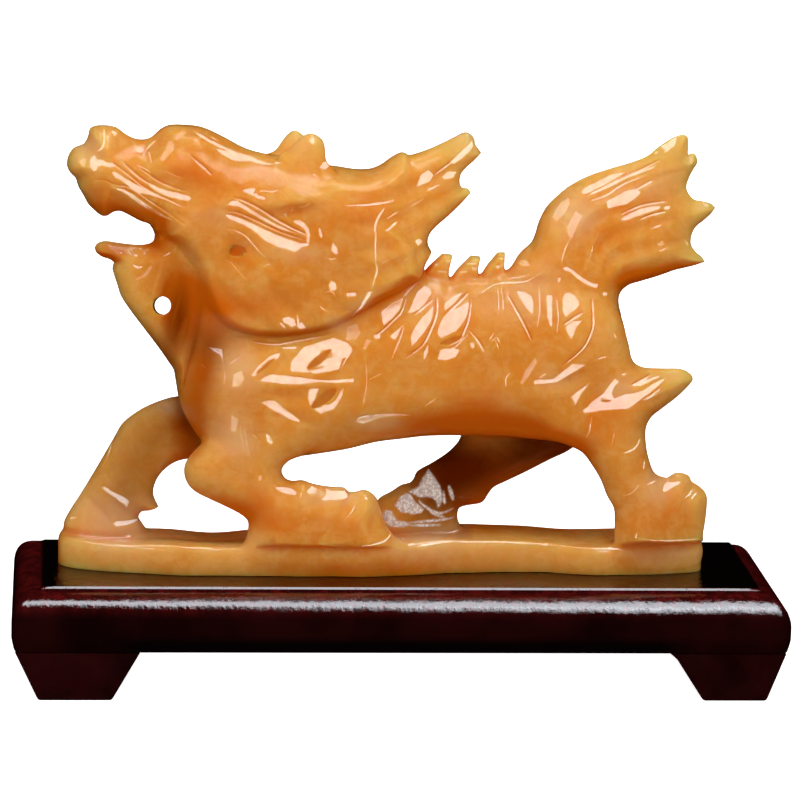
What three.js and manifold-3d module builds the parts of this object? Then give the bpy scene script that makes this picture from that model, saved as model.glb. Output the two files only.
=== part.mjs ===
// A walking qilin carved from one block of honey-coloured stone, with its own thin base slab,
// standing on a lacquered wooden board with four tapered feet.
// Millimetres, +Z up. +X runs from the snout to the tail and -Y is the side that shows.
// The origin is the middle of the footprint, at the undersides of the feet.
import * as THREE from "three";
import { mergeVertices } from "three/addons/utils/BufferGeometryUtils.js";
import Module from "manifold-3d";

// The stand
const BOARD_LENGTH = 300;
const BOARD_DEPTH = 95;
const BOARD_EDGE_HEIGHT = 21.7;
const PANEL_RISE = 1.6;
const PANEL_INSET = 11;
const SHOULDER_WIDTH = 10;
const SHOULDER_HEIGHT = 12;
const BOARD_CORNER_RADIUS = 4;
const UNDERCUT = 2.4;
const UNDERCUT_HEIGHT = 5.7;
const FOOT_HEIGHT = 19.3;
const FOOT_TOP_DEPTH = 32;
const FOOT_BOTTOM_DEPTH = 26;
const FOOT_FRONT_INSET = 1;
const FOOT_FRONT_TAPER = 2;
const FOOT_CORNER_RADIUS = 2.2;
const FLARE_HEIGHT = 2.2;
// The feet at one end of the board: how far in from its end, the lengths at the top and the
// bottom, how far the outer side leans in, and how much the inner side flares out at the top.
const LEFT_FOOT = { inset: 1.5, top: 47.4, bottom: 28.1, taper: 8.8, flare: 0 };
const RIGHT_FOOT = { inset: 1.9, top: 44, bottom: 24.8, taper: 6.6, flare: 1.1 };
const GLUE_GAP = 0.2;

// The carving
const FIGURE_LENGTH = 253;
const SEAT_GAP = 0.2;
const CHIN_HOLE_DIAMETER = 7;
const CHIN_HOLE_TILT = 11;
const DIMPLE_DIAMETER = 5.6;
const DIMPLE_DEPTH = 3;

// Fineness of the faceted carving: lattice step, and the triangles that are kept
const LATTICE_STEP = 1.9;
const CARVING_TRIANGLES = 8300;

// The carving is laid out in units, UNIT.long of them along the figure: x towards the tail, z up
// from the underside of the base slab, y across. The rest of UNIT is the middle and the half
// thickness of its parts across y, and the height of the slab.
const UNIT = {
  long: 253,
  midY: -4,
  nearLegY: -14,
  farLegY: 6.5,
  legHalf: 10,
  bodyHalf: 20.5,
  cheekHalf: 21.4,
  toothHalf: 4.2,
  slabTop: 11.8,
};
const GROW = FIGURE_LENGTH / UNIT.long;

// Outlines seen from the side. A third value of 1 marks a sharp corner of the smooth loop.
const HEAD = [
  [-130.2, 157], [-129.6, 161], [-127.5, 163.8], [-124, 165.3], [-122.4, 168], [-121.6, 171.2],
  [-119.5, 172.3], [-115.5, 172.5], [-111.5, 171.8], [-108.5, 169.6], [-105, 167.7],
  [-101.5, 167.2], [-98.5, 168], [-95, 171], [-91.5, 172.9], [-86, 173.2], [-79, 172.1],
  [-71, 168.7], [-62, 164.2], [-54, 162.1], [-44, 160.6], [-34, 158], [-26, 156], [-18, 154.5],
  [-10, 149],
  [-14, 125], [-40, 106], [-60, 103], [-72, 107], [-79, 114], [-84, 123], [-89, 130], [-93, 133.6],
  [-96.6, 132.8], [-98.5, 134.9], [-102.5, 136.3], [-106.5, 138.4], [-110, 139.9], [-112.5, 139.4],
  [-114.7, 137.9], [-117, 138], [-119.6, 140], [-122, 142.4], [-124, 146], [-125.8, 149],
  [-127, 152.5], [-128.9, 154.3],
];
const BEARD = [
  [-119.4, 125.3], [-118.2, 127.1], [-115.3, 127.9], [-110, 127.2], [-104, 126.6], [-99.5, 126.8],
  [-97, 128], [-95.9, 131], [-93, 134], [-84, 130], [-78, 116], [-77, 98], [-81, 82],
  [-85.6, 69.5], [-87.3, 74], [-88.5, 78], [-90.5, 81.2], [-95, 87.5], [-100, 94], [-105, 100.5],
  [-109.2, 106.8], [-110.4, 110.5], [-111.6, 114], [-112.6, 117.2, 1], [-112, 119.8, 1],
  [-113.6, 121], [-116.5, 121.9], [-118.9, 123.7],
];
const JOWL = [
  [-93, 133], [-88, 128.5], [-83, 121.5], [-79.5, 111], [-76, 102], [-69.5, 95.8], [-60, 92.6],
  [-50, 91.7], [-40, 92.5], [-30, 94.8], [-20, 99.7], [-10, 106], [0, 113.4], [6.5, 118],
  [2, 135], [-20, 150], [-50, 156], [-75, 152], [-90, 143],
];
const MANE = [
  [-32, 156.6], [-27.5, 157], [-20, 156.2], [-14, 156.6], [-10, 158.4], [-6.5, 161.2],
  [-3, 163.3], [-1, 163.4], [0.4, 162.5], [3, 163.1], [8, 165], [14, 167.9], [20, 171.1],
  [22, 171.8], [24.2, 170.8], [25.5, 169], [25.7, 167.3], [27, 165.5], [28.2, 163.9, 1],
  [25.6, 161], [22.4, 158], [20.6, 155.5], [20.2, 152.3], [21.2, 150.2], [23.4, 150],
  [24.6, 148.4, 1], [21, 144.2], [16, 139.3], [11, 134.9], [9, 132.3], [8.4, 129.6],
  [8.9, 127.3], [10.1, 125.4, 1], [9, 123.2], [7, 120.3], [6.4, 118], [5, 115], [-8, 108],
  [-30, 104], [-50, 120], [-45, 150],
];
const NECK = [
  [-93, 132], [-88, 122], [-86, 105], [-86.5, 88], [-86.5, 74], [-82, 62], [-70, 56], [-40, 62],
  [0, 84], [14, 108], [7, 116.2], [0, 130], [-30, 140], [-60, 140],
];
const TORSO = [
  [-86, 70], [-86, 84], [-76, 98], [-40, 107], [-10, 111], [5, 114.6], [12, 115.6], [18.5, 114.6],
  [24, 115.9], [30, 116.2], [36, 117.6], [41, 118], [48, 120.5], [58, 122.5], [68, 120],
  [77, 114], [82.8, 106.4], [85.3, 98], [86, 90], [87, 76], [80, 60], [68, 50], [60, 50.8],
  [50, 51.8], [40, 52.8], [25, 53], [10, 52.7], [0, 51.5], [-10, 50.1], [-20, 47.5], [-30, 45.7],
  [-42, 44], [-58, 43], [-74, 47], [-83, 58],
];
const NEAR_FORELEG = [
  [-84.3, 39.5], [-83.8, 43], [-81.5, 46.8], [-77, 51.5], [-73, 56], [-72.5, 66], [-70, 78],
  [-62, 88], [-48, 91], [-34, 84], [-26, 70], [-29, 56], [-38, 47.5], [-44, 44.5], [-46.6, 41],
  [-45.4, 37.6], [-42.5, 36.2], [-38.5, 36.5], [-34, 35], [-27, 33.9], [-22, 33.6], [-20.2, 32],
  [-17.5, 32], [-14.5, 32.8], [-11.5, 31.6], [-9.4, 29.4], [-7.6, 24.5], [-5.3, 18.5],
  [-2, 14.3], [1, 11], [-2, 4], [-55, 4], [-60, 10], [-59.2, 17], [-59.4, 20.4], [-62, 23],
  [-68.5, 26.5], [-74.5, 29.3], [-80, 32.2], [-83, 35.4],
];
const FAR_FORELEG = [
  [-84.5, 66], [-90, 64.2], [-95, 62.4], [-100, 60], [-105, 56.6], [-108.3, 53.4],
  [-110.8, 48.8], [-114, 43], [-117.3, 37], [-120.4, 31.6], [-124, 25.4], [-127.5, 19.8],
  [-130, 15], [-130.2, 13.2], [-129.3, 11.6], [-129, 5], [-104, 4], [-98, 9], [-99.6, 14],
  [-101.2, 16.4], [-100, 18.9], [-97, 19.3], [-94.8, 20], [-93.3, 20.8, 1], [-94.2, 22.4],
  [-95.4, 25.5], [-95.3, 28.8], [-93.6, 33], [-90.5, 36.6], [-86.5, 39.2], [-81.5, 40.4],
  [-75, 41], [-66, 48], [-58, 64], [-64, 80], [-75, 84], [-82, 77],
];
const NEAR_HIND_LEG = [
  [60, 112], [72, 112], [82, 104], [86.5, 92], [88.5, 85], [92.5, 82.2], [100, 81.6],
  [108, 81.3], [111.5, 79.6], [112.6, 77.5], [110.6, 74.5], [106, 70], [100, 65.5], [96.5, 62.6],
  [94.6, 58], [95.3, 50], [96.8, 44.6], [98.5, 40.8], [101, 38.8], [104.5, 38.2], [107, 39.8],
  [110, 39.9], [112.9, 38.6], [113.8, 36.6], [117, 34.6], [119.8, 31.4], [120.2, 26], [119.3, 16],
  [118, 5], [90, 4], [84.5, 12], [84, 20.5], [83.4, 26], [80.5, 31], [77.8, 37.4], [74, 43.5],
  [70, 48.4], [64, 51.5], [54, 56], [46, 72], [47, 96],
];
const FAR_HIND_LEG = [
  [24.8, 50], [23.8, 47.4], [20, 43.2], [14, 39], [7.8, 35.2], [6.4, 32], [4.8, 30.6], [2, 29.9],
  [-2, 27.2], [-7, 24.1], [-10, 17], [-10, 5], [24, 4], [25.4, 12], [24.2, 17.6], [24.8, 21],
  [27.2, 22], [32.8, 23], [34.6, 24.2], [36.2, 27], [38.2, 29.6], [42, 31.6], [50, 35.6],
  [60, 41], [68, 45.2], [80, 56], [84, 84], [72, 106], [52, 104], [36, 84], [28, 62],
];
const TAIL = [
  [41, 116], [43.4, 123], [46, 126.2], [48.6, 128.6], [50.1, 132], [51.4, 137],
  [54.2, 142.8], [58, 147.4], [63.3, 151.7], [70, 155.4], [78, 158.3], [86, 160.8], [92, 163.3],
  [97, 167.2], [101.5, 170.3], [105.5, 171.9], [107.4, 171.6], [108.2, 170.4, 1], [108.3, 164, 1],
  [110.4, 164.8], [111.7, 163.3], [112.1, 161], [110.8, 158.8], [109.2, 155.5], [108.2, 151.8],
  [108.9, 149.4], [111.4, 146.7], [115.2, 146], [118.2, 145.1], [119.9, 143.6, 1],
  [118.2, 141.2], [115.5, 138.6], [112.4, 135.9], [111, 132.6], [110.9, 129.2], [112.8, 126.3],
  [115.4, 124.2], [116.7, 122.3, 1], [112, 120.7], [105, 119], [98, 116.5], [91, 114.4],
  [87, 113.1], [84.3, 110.8], [81, 104], [70, 104], [50, 110],
];
const NEAR_HORN = [
  [-50, 162.4], [-46, 166], [-42, 170], [-38.5, 171.9], [-35.2, 170.9], [-33.1, 168.7],
  [-32.4, 165.3], [-31.9, 161.6], [-29, 157], [-34, 153], [-46, 155],
];
const FAR_HORN = [
  [-53.4, 159], [-50, 162.8], [-47.4, 166.7], [-45, 169.4], [-42.9, 170.2], [-40, 168.6],
  [-35, 163], [-34, 157], [-46, 154],
];

// The plan of the base slab, seen from above, with the wavy front edge of the rough block.
const SLAB_PLAN = [
  [-131.2, -7], [-122, -11.5], [-100, -17], [-80, -20.8], [-60, -23.6], [-30, -24.3], [0, -23.6],
  [20, -20], [40, -18.2], [60, -19.3], [78, -20.6], [95, -19.5], [108, -17], [117, -14],
  [119.5, -9], [119.6, 6], [116, 13.5], [98, 16], [50, 16.5], [-20, 16], [-80, 16.5],
  [-118, 15], [-130.2, 10], [-132.4, 1],
];

// The teeth along the spine: where each one's steep back edge stands, its top and its foot.
const TEETH = [
  { back: 18.3, top: 123, foot: 114.8 },
  { back: 29.3, top: 122.3, foot: 115.2 },
  { back: 39.3, top: 123.9, foot: 116.6 },
];

// A form is an outline with a thickness across y. edge is how far in from the outline its face
// keeps swelling; half and y may run from one end of a line to the other, as a lock thins to a tip.
const even = (half, y) => ({ from: [0, 0], to: [1, 0], half: [half, half], y: [y, y] });
const taper = (from, to, half, y) => ({ from, to, half, y });
const BODY_FORMS = [
  { outline: TORSO, edge: 24, blend: 0, ...even(UNIT.bodyHalf, UNIT.midY) },
  { outline: NECK, edge: 18, blend: 5, ...even(17, UNIT.midY) },
  { outline: FAR_FORELEG, edge: 10, blend: 4, ...even(UNIT.legHalf - 1, UNIT.farLegY) },
  { outline: FAR_HIND_LEG, edge: 10, blend: 4,
    ...taper([40, 70], [10, 20], [11, 9], [UNIT.farLegY, UNIT.farLegY]) },
  { outline: NEAR_FORELEG, edge: 11, blend: 4, ...even(UNIT.legHalf, UNIT.nearLegY) },
  { outline: NEAR_HIND_LEG, edge: 11, blend: 4,
    ...taper([90, 76], [110, 78], [UNIT.legHalf + 0.5, 6.5], [UNIT.nearLegY + 0.5, UNIT.nearLegY + 2]) },
  { outline: TAIL, edge: 12, blend: 2.5,
    ...taper([62, 120], [112, 150], [14.5, 5], [UNIT.midY, UNIT.midY]) },
];
const HEAD_FORMS = [
  { outline: BEARD, edge: 6, blend: 0,
    ...taper([-84, 110], [-108, 116], [10, 7], [UNIT.midY, UNIT.midY]) },
  { outline: HEAD, edge: 15, blend: 3,
    ...taper([-118, 156], [-80, 150], [14.5, 20], [UNIT.midY, UNIT.midY]) },
  { outline: JOWL, edge: 9, blend: 3, ...even(UNIT.cheekHalf, UNIT.midY) },
  { outline: MANE, edge: 9, blend: 3,
    ...taper([-22, 138], [22, 156], [21, 5.5], [UNIT.midY, UNIT.midY]) },
  { outline: NEAR_HORN, edge: 5, blend: 3, ...even(4.6, UNIT.midY - 9) },
  { outline: FAR_HORN, edge: 5, blend: 3, ...even(4.6, UNIT.midY + 9) },
];

// A cut is a bent stroke pressed into the side: start, bend, end, width and depth.
// Both sides of the figure carry the same cuts.
function between(a, b, t) {
  return a.map((value, i) => value + (b[i] - value) * t);
}
function fan(first, last, count, width, depth) {
  return Array.from({ length: count }, (_, i) => {
    const t = count > 1 ? i / (count - 1) : 0;
    return { path: first.map((point, k) => between(point, last[k], t)), width, depth };
  });
}
const CUTS = [
  // locks of the tail, from its root up and back to the notches between the tips
  ...fan([[59, 128], [61, 152], [105, 167.5]], [[79, 116], [88, 121], [112, 123.5]], 6, 6.6, 2.4),
  // flames of the mane, from the cheek to the tips
  ...fan([[-26, 151], [-6, 149], [24, 162]], [[-20, 107], [-10, 112], [5, 119]], 5, 8, 2.8),
  // long welts of the muzzle and of the cheek
  ...fan([[-112, 157.5], [-98, 148], [-80, 145]], [[-117, 150], [-104, 145], [-84, 134]], 3, 6, 2),
  ...fan([[-72, 144], [-54, 137], [-37, 131]], [[-74, 134], [-62, 130], [-50, 121]], 2, 7, 2.4),
  // hair of the jowl, hanging to its rim
  ...fan([[-74, 118], [-66, 107], [-54, 99]], [[-36, 120], [-30, 110], [-20, 104]], 3, 8, 2.4),
  // leaf cuts over the shoulder
  ...fan([[-46, 88], [-50, 83], [-59, 79]], [[-20, 92], [-22, 86], [-29, 78]], 2, 8, 2.8),
  ...fan([[-56, 74], [-42, 72], [-24, 75]], [[-52, 64], [-44, 64], [-34, 60]], 2, 7, 2.4),
  ...fan([[-18, 62], [-8, 64.5], [4, 64]], [[-18, 62], [-8, 64.5], [4, 64]], 1, 6.6, 2),
  // rows of curved leaf cuts down the flank and the rump
  ...fan([[0, 111], [-2, 102], [-13, 94]], [[24, 112], [24, 98], [13, 88]], 3, 7.4, 2.8),
  ...fan([[39, 112], [43, 102], [47, 93]], [[57, 112], [57, 102], [57, 91]], 2, 7.4, 2.6),
  ...fan([[70, 108], [72, 96], [60, 85]], [[70, 84], [62, 79], [49, 77]], 2, 7.4, 2.6),
  // the tuft behind the hock
  ...fan([[84, 78], [96, 79], [108, 78.6]], [[84, 70], [92, 70.5], [103, 73]], 2, 5.4, 1.9),
  // toes
  ...fan([[-21, 33], [-23, 27], [-25, 20]], [[-9.5, 29], [-11, 22], [-12, 15]], 2, 5.6, 2),
  ...fan([[104, 39], [103, 33], [102, 26]], [[113.5, 37], [112, 29], [111, 20]], 2, 5.6, 2),
  ...fan([[-122, 27], [-117, 22], [-112, 17]], [[-114, 29], [-109, 23], [-104, 19]], 2, 5.6, 2),
  ...fan([[6, 31], [4, 24], [2, 16]], [[17, 33], [15, 25], [13, 17]], 2, 5.6, 2),
];
// Raised or hollowed places: centre, half length, half width, turn in degrees, and height.
const SWELLINGS = [
  { at: [-94, 161], size: [11, 8], turn: 20, height: 2.4 }, // eye under the brow
  { at: [-84, 170], size: [17, 4.5], turn: -10, height: 1.8 }, // brow
  { at: [-116, 167], size: [6, 6], turn: 0, height: 1.6 }, // nostril
  { at: [-100, 164], size: [3.6, 3.6], turn: 0, height: -2.2 }, // corner of the eye
  { at: [-46, 148], size: [19, 6], turn: 8, height: 2.2 }, // ear
  { at: [-44, 144.5], size: [9, 3.4], turn: 8, height: -1.8 }, // hollow of the ear
  { at: [-54, 78], size: [20, 13], turn: 0, height: 1.6 }, // shoulder
  { at: [66, 92], size: [19, 18], turn: 30, height: 1.8 }, // haunch
];

const HOLE_AT = [-93, 103];
const DIMPLE_AT = [-66.3, 128.2];

const stone = new THREE.MeshStandardMaterial({ color: 0xe0924a, roughness: 0.12, metalness: 0 });
const lacquer = new THREE.MeshStandardMaterial({ color: 0x32090c, roughness: 0.15, metalness: 0 });

// A closed smooth loop through the points, with a corner where one is marked.
function smoothLoop(points, step) {
  const loop = [];
  const n = points.length;
  for (let i = 0; i < n; i++) {
    const [p0, p1, p2, p3] = [-1, 0, 1, 2].map((k) => points[(i + k + n) % n]);
    const gap = (a, b) => Math.hypot(b[0] - a[0], b[1] - a[1]);
    const span = gap(p1, p2);
    const tangent = (a, b, sharp, before, after) =>
      [0, 1].map((k) => (sharp ? p2[k] - p1[k] : ((b[k] - a[k]) * span) / (before + after)));
    const leave = tangent(p0, p2, p1[2], gap(p0, p1), span);
    const arrive = tangent(p1, p3, p2[2], span, gap(p2, p3));
    const pieces = Math.max(1, Math.round(span / step));
    for (let j = 0; j < pieces; j++) {
      const t = j / pieces;
      const [t2, t3] = [t * t, t * t * t];
      loop.push([0, 1].map((k) =>
        (2 * t3 - 3 * t2 + 1) * p1[k] + (t3 - 2 * t2 + t) * leave[k] +
        (3 * t2 - 2 * t3) * p2[k] + (t3 - t2) * arrive[k]));
    }
  }
  return loop;
}

// Distance from (x, z) to the loop, negative inside.
function loopDistance(loop, x, z) {
  let nearest = Infinity;
  let inside = false;
  for (let i = 0, j = loop.length - 1; i < loop.length; j = i++) {
    const [ax, az] = loop[j];
    const [bx, bz] = loop[i];
    const [ex, ez] = [bx - ax, bz - az];
    const t = Math.min(1, Math.max(0, ((x - ax) * ex + (z - az) * ez) / (ex * ex + ez * ez)));
    nearest = Math.min(nearest, (x - ax - t * ex) ** 2 + (z - az - t * ez) ** 2);
    if (bz > z !== az > z && x < ((ax - bx) * (z - bz)) / (az - bz) + bx) inside = !inside;
  }
  return inside ? -Math.sqrt(nearest) : Math.sqrt(nearest);
}

function softUnion(a, b, blend) {
  if (blend <= 0) return Math.min(a, b);
  const h = Math.max(blend - Math.abs(a - b), 0) / blend;
  return Math.min(a, b) - (h * h * blend) / 4;
}

// How deep the cuts and swellings go at (x, z): positive into the stone.
function cutDepth(path, x, z) {
  const [a, b, c] = path.points;
  if (x < path.box[0] || x > path.box[1] || z < path.box[2] || z > path.box[3]) return 0;
  let best = Infinity;
  let along = 0;
  const steps = 10;
  let previous = a;
  for (let i = 1; i <= steps; i++) {
    const t = i / steps;
    const next = [0, 1].map((k) => (1 - t) ** 2 * a[k] + 2 * t * (1 - t) * b[k] + t * t * c[k]);
    const [ex, ez] = [next[0] - previous[0], next[1] - previous[1]];
    const s = Math.min(1, Math.max(0,
      ((x - previous[0]) * ex + (z - previous[1]) * ez) / (ex * ex + ez * ez)));
    const d = Math.hypot(x - previous[0] - s * ex, z - previous[1] - s * ez);
    if (d < best) {
      best = d;
      along = (i - 1 + s) / steps;
    }
    previous = next;
  }
  const leaf = Math.sin(Math.PI * Math.min(0.97, Math.max(0.03, along))) ** 0.6;
  const across = Math.max(0, 1 - best / (0.5 * path.width * leaf));
  return path.depth * leaf * across * (1.6 - 0.6 * across);
}
function reliefOf(cuts, swellings) {
  const paths = cuts.map(({ path, width, depth }) => {
    const xs = path.map((p) => p[0]);
    const zs = path.map((p) => p[1]);
    const box = [Math.min(...xs) - width, Math.max(...xs) + width,
      Math.min(...zs) - width, Math.max(...zs) + width];
    return { points: path, width, depth, box };
  });
  return (x, z) => {
    let depth = 0;
    for (const path of paths) depth = Math.max(depth, cutDepth(path, x, z));
    for (const { at, size, turn, height } of swellings) {
      const [c, s] = [Math.cos((turn * Math.PI) / 180), Math.sin((turn * Math.PI) / 180)];
      const u = ((x - at[0]) * c + (z - at[1]) * s) / size[0];
      const v = (-(x - at[0]) * s + (z - at[1]) * c) / size[1];
      const r = u * u + v * v;
      if (r < 1) depth -= height * (1 - r) ** 2;
    }
    return depth;
  };
}

// The lattice that the carving is worked out on, in units.
const LOW = [-136, -30, -4];
const HIGH = [123, 22, 178];
const CELLS = LOW.map((low, i) => Math.ceil((HIGH[i] - low) / LATTICE_STEP));
const POINTS = CELLS.map((n) => n + 1);

// A form as columns of the lattice: its outline distance, half thickness and centre at each (x, z).
function formColumns({ outline, edge, from, to, half, y }) {
  const loop = smoothLoop(outline, 1.5);
  const reach = 4 * LATTICE_STEP;
  const along = [to[0] - from[0], to[1] - from[1]];
  const length2 = along[0] ** 2 + along[1] ** 2;
  const columns = [];
  const [x0, x1] = [Math.min(...loop.map((p) => p[0])), Math.max(...loop.map((p) => p[0]))];
  const [z0, z1] = [Math.min(...loop.map((p) => p[1])), Math.max(...loop.map((p) => p[1]))];
  for (let i = 0; i < POINTS[0]; i++) {
    const x = LOW[0] + i * LATTICE_STEP;
    if (x < x0 - reach || x > x1 + reach) continue;
    for (let k = 0; k < POINTS[2]; k++) {
      const z = LOW[2] + k * LATTICE_STEP;
      if (z < z0 - reach || z > z1 + reach) continue;
      const distance = loopDistance(loop, x, z);
      if (distance > reach) continue;
      const s = Math.min(1, Math.max(0,
        ((x - from[0]) * along[0] + (z - from[1]) * along[1]) / length2));
      const t = s * s * (3 - 2 * s);
      columns.push({
        column: i * POINTS[2] + k,
        q: Math.max(distance + edge, 0) / edge,
        half: half[0] + (half[1] - half[0]) * t,
        y: y[0] + (y[1] - y[0]) * t,
      });
    }
  }
  return columns;
}
const index = (i, j, k) => (i * POINTS[2] + k) * POINTS[1] + j;

function addForms(field, forms) {
  for (const form of forms) {
    for (const { column, q, half, y } of formColumns(form)) {
      for (let j = 0; j < POINTS[1]; j++) {
        const p = (LOW[1] + j * LATTICE_STEP - y) / half;
        const r = Math.hypot(q, p);
        const value = ((r - 1) * r) / Math.hypot(q / form.edge, p / half, 1e-9);
        const at = column * POINTS[1] + j;
        field[at] = softUnion(field[at], value, form.blend);
      }
    }
  }
}

// The base slab: the plan between its flat underside and its top, with the edges rounded over. The
// top is slightly uneven and dips between the forefeet.
function addSlab(field) {
  const loop = smoothLoop(SLAB_PLAN, 2);
  const round = 3.6;
  for (let i = 0; i < POINTS[0]; i++) {
    const x = LOW[0] + i * LATTICE_STEP;
    const top = UNIT.slabTop - 2.2 * Math.exp(-(((x + 76) / 20) ** 2)) + 0.4 * Math.sin(x / 7.3 + 1);
    for (let j = 0; j < POINTS[1]; j++) {
      const plan = loopDistance(loop, x, LOW[1] + j * LATTICE_STEP) + round;
      for (let k = 0; k < POINTS[2]; k++) {
        const rise = LOW[2] + k * LATTICE_STEP - top + round;
        const value = Math.min(Math.max(plan, rise), 0) +
          Math.hypot(Math.max(plan, 0), Math.max(rise, 0)) - round;
        const at = index(i, j, k);
        field[at] = softUnion(field[at], value, 2);
      }
    }
  }
}

function toothOutline({ back, top, foot }) {
  const rise = top - foot;
  return [
    [back - 11, foot - 5], [back - 9.6, foot + 0.12 * rise], [back - 6.6, foot + 0.5 * rise],
    [back - 4, top], [back - 1.8, top + 0.2], [back - 0.3, top - 0.8], [back, top - 2.2],
    [back - 0.9, foot + 0.3 * rise], [back - 1.6, foot - 5],
  ];
}

function carvingField() {
  const size = POINTS[0] * POINTS[1] * POINTS[2];
  const body = new Float64Array(size).fill(40);
  const head = new Float64Array(size).fill(40);
  addForms(body, BODY_FORMS);
  addSlab(body);
  addForms(body, TEETH.map((tooth) => ({
    outline: toothOutline(tooth), edge: 3, blend: 0.6, ...even(UNIT.toothHalf, UNIT.midY),
  })));
  addForms(head, HEAD_FORMS);
  const relief = reliefOf(CUTS, SWELLINGS);
  const whole = body.map((value, at) => softUnion(value, head[at], 0.8));
  return whole.map((value, at) => {
    const j = at % POINTS[1];
    const k = Math.floor(at / POINTS[1]) % POINTS[2];
    const i = Math.floor(at / (POINTS[1] * POINTS[2]));
    if (k === 0) return Math.max(value, 1); // the lattice ends below the underside
    const z = LOW[2] + k * LATTICE_STEP;
    if (z < UNIT.slabTop + 2 || Math.abs(value) > 8) return value;
    // the carving is in the sides: it fades where the surface turns into the outline
    const slope = (whole[at + 1] - whole[at - 1]) / (2 * LATTICE_STEP);
    const facing = Math.min(1, Math.abs(slope) * 1.3);
    const off = Math.min(1, Math.abs(LOW[1] + j * LATTICE_STEP - UNIT.midY) / 4);
    return value + relief(LOW[0] + i * LATTICE_STEP, z) * facing * off;
  });
}

// The zero surface of the field: each cell is six tetrahedra round its long diagonal, so the
// surface is always closed. Corner numbers hold a bit for x, y and z.
function zeroSurface(field) {
  const positions = [];
  const triangles = [];
  const made = new Int32Array(field.length * 8).fill(-1);
  const stride = [POINTS[2] * POINTS[1], 1, POINTS[1]];
  const offset = (bits) => [0, 1, 2].reduce((sum, k) => sum + ((bits >> k) & 1) * stride[k], 0);
  const offsets = Array.from({ length: 8 }, (_, bits) => offset(bits));
  const tetrahedra = [
    [0, 1, 3, 7], [0, 5, 1, 7], [0, 3, 2, 7], [0, 2, 6, 7], [0, 4, 5, 7], [0, 6, 4, 7],
  ];
  const lone = [[0, 1, 2, 3], [1, 0, 3, 2], [2, 3, 0, 1], [3, 2, 1, 0]];
  const pairs = { 3: [0, 1, 2, 3], 5: [0, 2, 3, 1], 9: [0, 3, 1, 2], 6: [1, 2, 0, 3],
    10: [1, 3, 2, 0], 12: [2, 3, 0, 1] };
  const crossing = (cell, corner, a, b) => {
    const [low, high] = a < b ? [a, b] : [b, a];
    const key = (cell + offsets[low]) * 8 + (high ^ low);
    if (made[key] < 0) {
      const [v0, v1] = [field[cell + offsets[low]], field[cell + offsets[high]]];
      const t = Math.min(0.97, Math.max(0.03, v0 / (v0 - v1)));
      made[key] = positions.length / 3;
      for (let k = 0; k < 3; k++) {
        const [c0, c1] = [(low >> k) & 1, (high >> k) & 1];
        positions.push(LOW[k] + LATTICE_STEP * (corner[k] + c0 + t * (c1 - c0)));
      }
    }
    return made[key];
  };
  for (let i = 0; i < CELLS[0]; i++) {
    for (let k = 0; k < CELLS[2]; k++) {
      for (let j = 0; j < CELLS[1]; j++) {
        const cell = index(i, j, k);
        let inside = 0;
        for (const step of offsets) inside += field[cell + step] < 0 ? 1 : 0;
        if (inside === 0 || inside === 8) continue;
        const corner = [i, j, k];
        for (const tetra of tetrahedra) {
          let mask = 0;
          for (let c = 0; c < 4; c++) {
            if (field[cell + offsets[tetra[c]]] < 0) mask |= 1 << c;
          }
          if (mask === 0 || mask === 15) continue;
          const cut = (a, b) => crossing(cell, corner, tetra[a], tetra[b]);
          if (pairs[mask]) {
            const [p, q, r, s] = pairs[mask];
            const [pr, ps, qs, qr] = [cut(p, r), cut(p, s), cut(q, s), cut(q, r)];
            triangles.push(pr, ps, qs, pr, qs, qr);
            continue;
          }
          const outside = [7, 11, 13, 14].includes(mask);
          const [p, q, r, s] = lone[Math.log2(outside ? 15 - mask : mask)];
          const [pq, pr, ps] = [cut(p, q), cut(p, r), cut(p, s)];
          if (outside) triangles.push(pq, ps, pr);
          else triangles.push(pq, pr, ps);
        }
      }
    }
  }
  return { positions: Float64Array.from(positions), triangles: Int32Array.from(triangles) };
}

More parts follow.
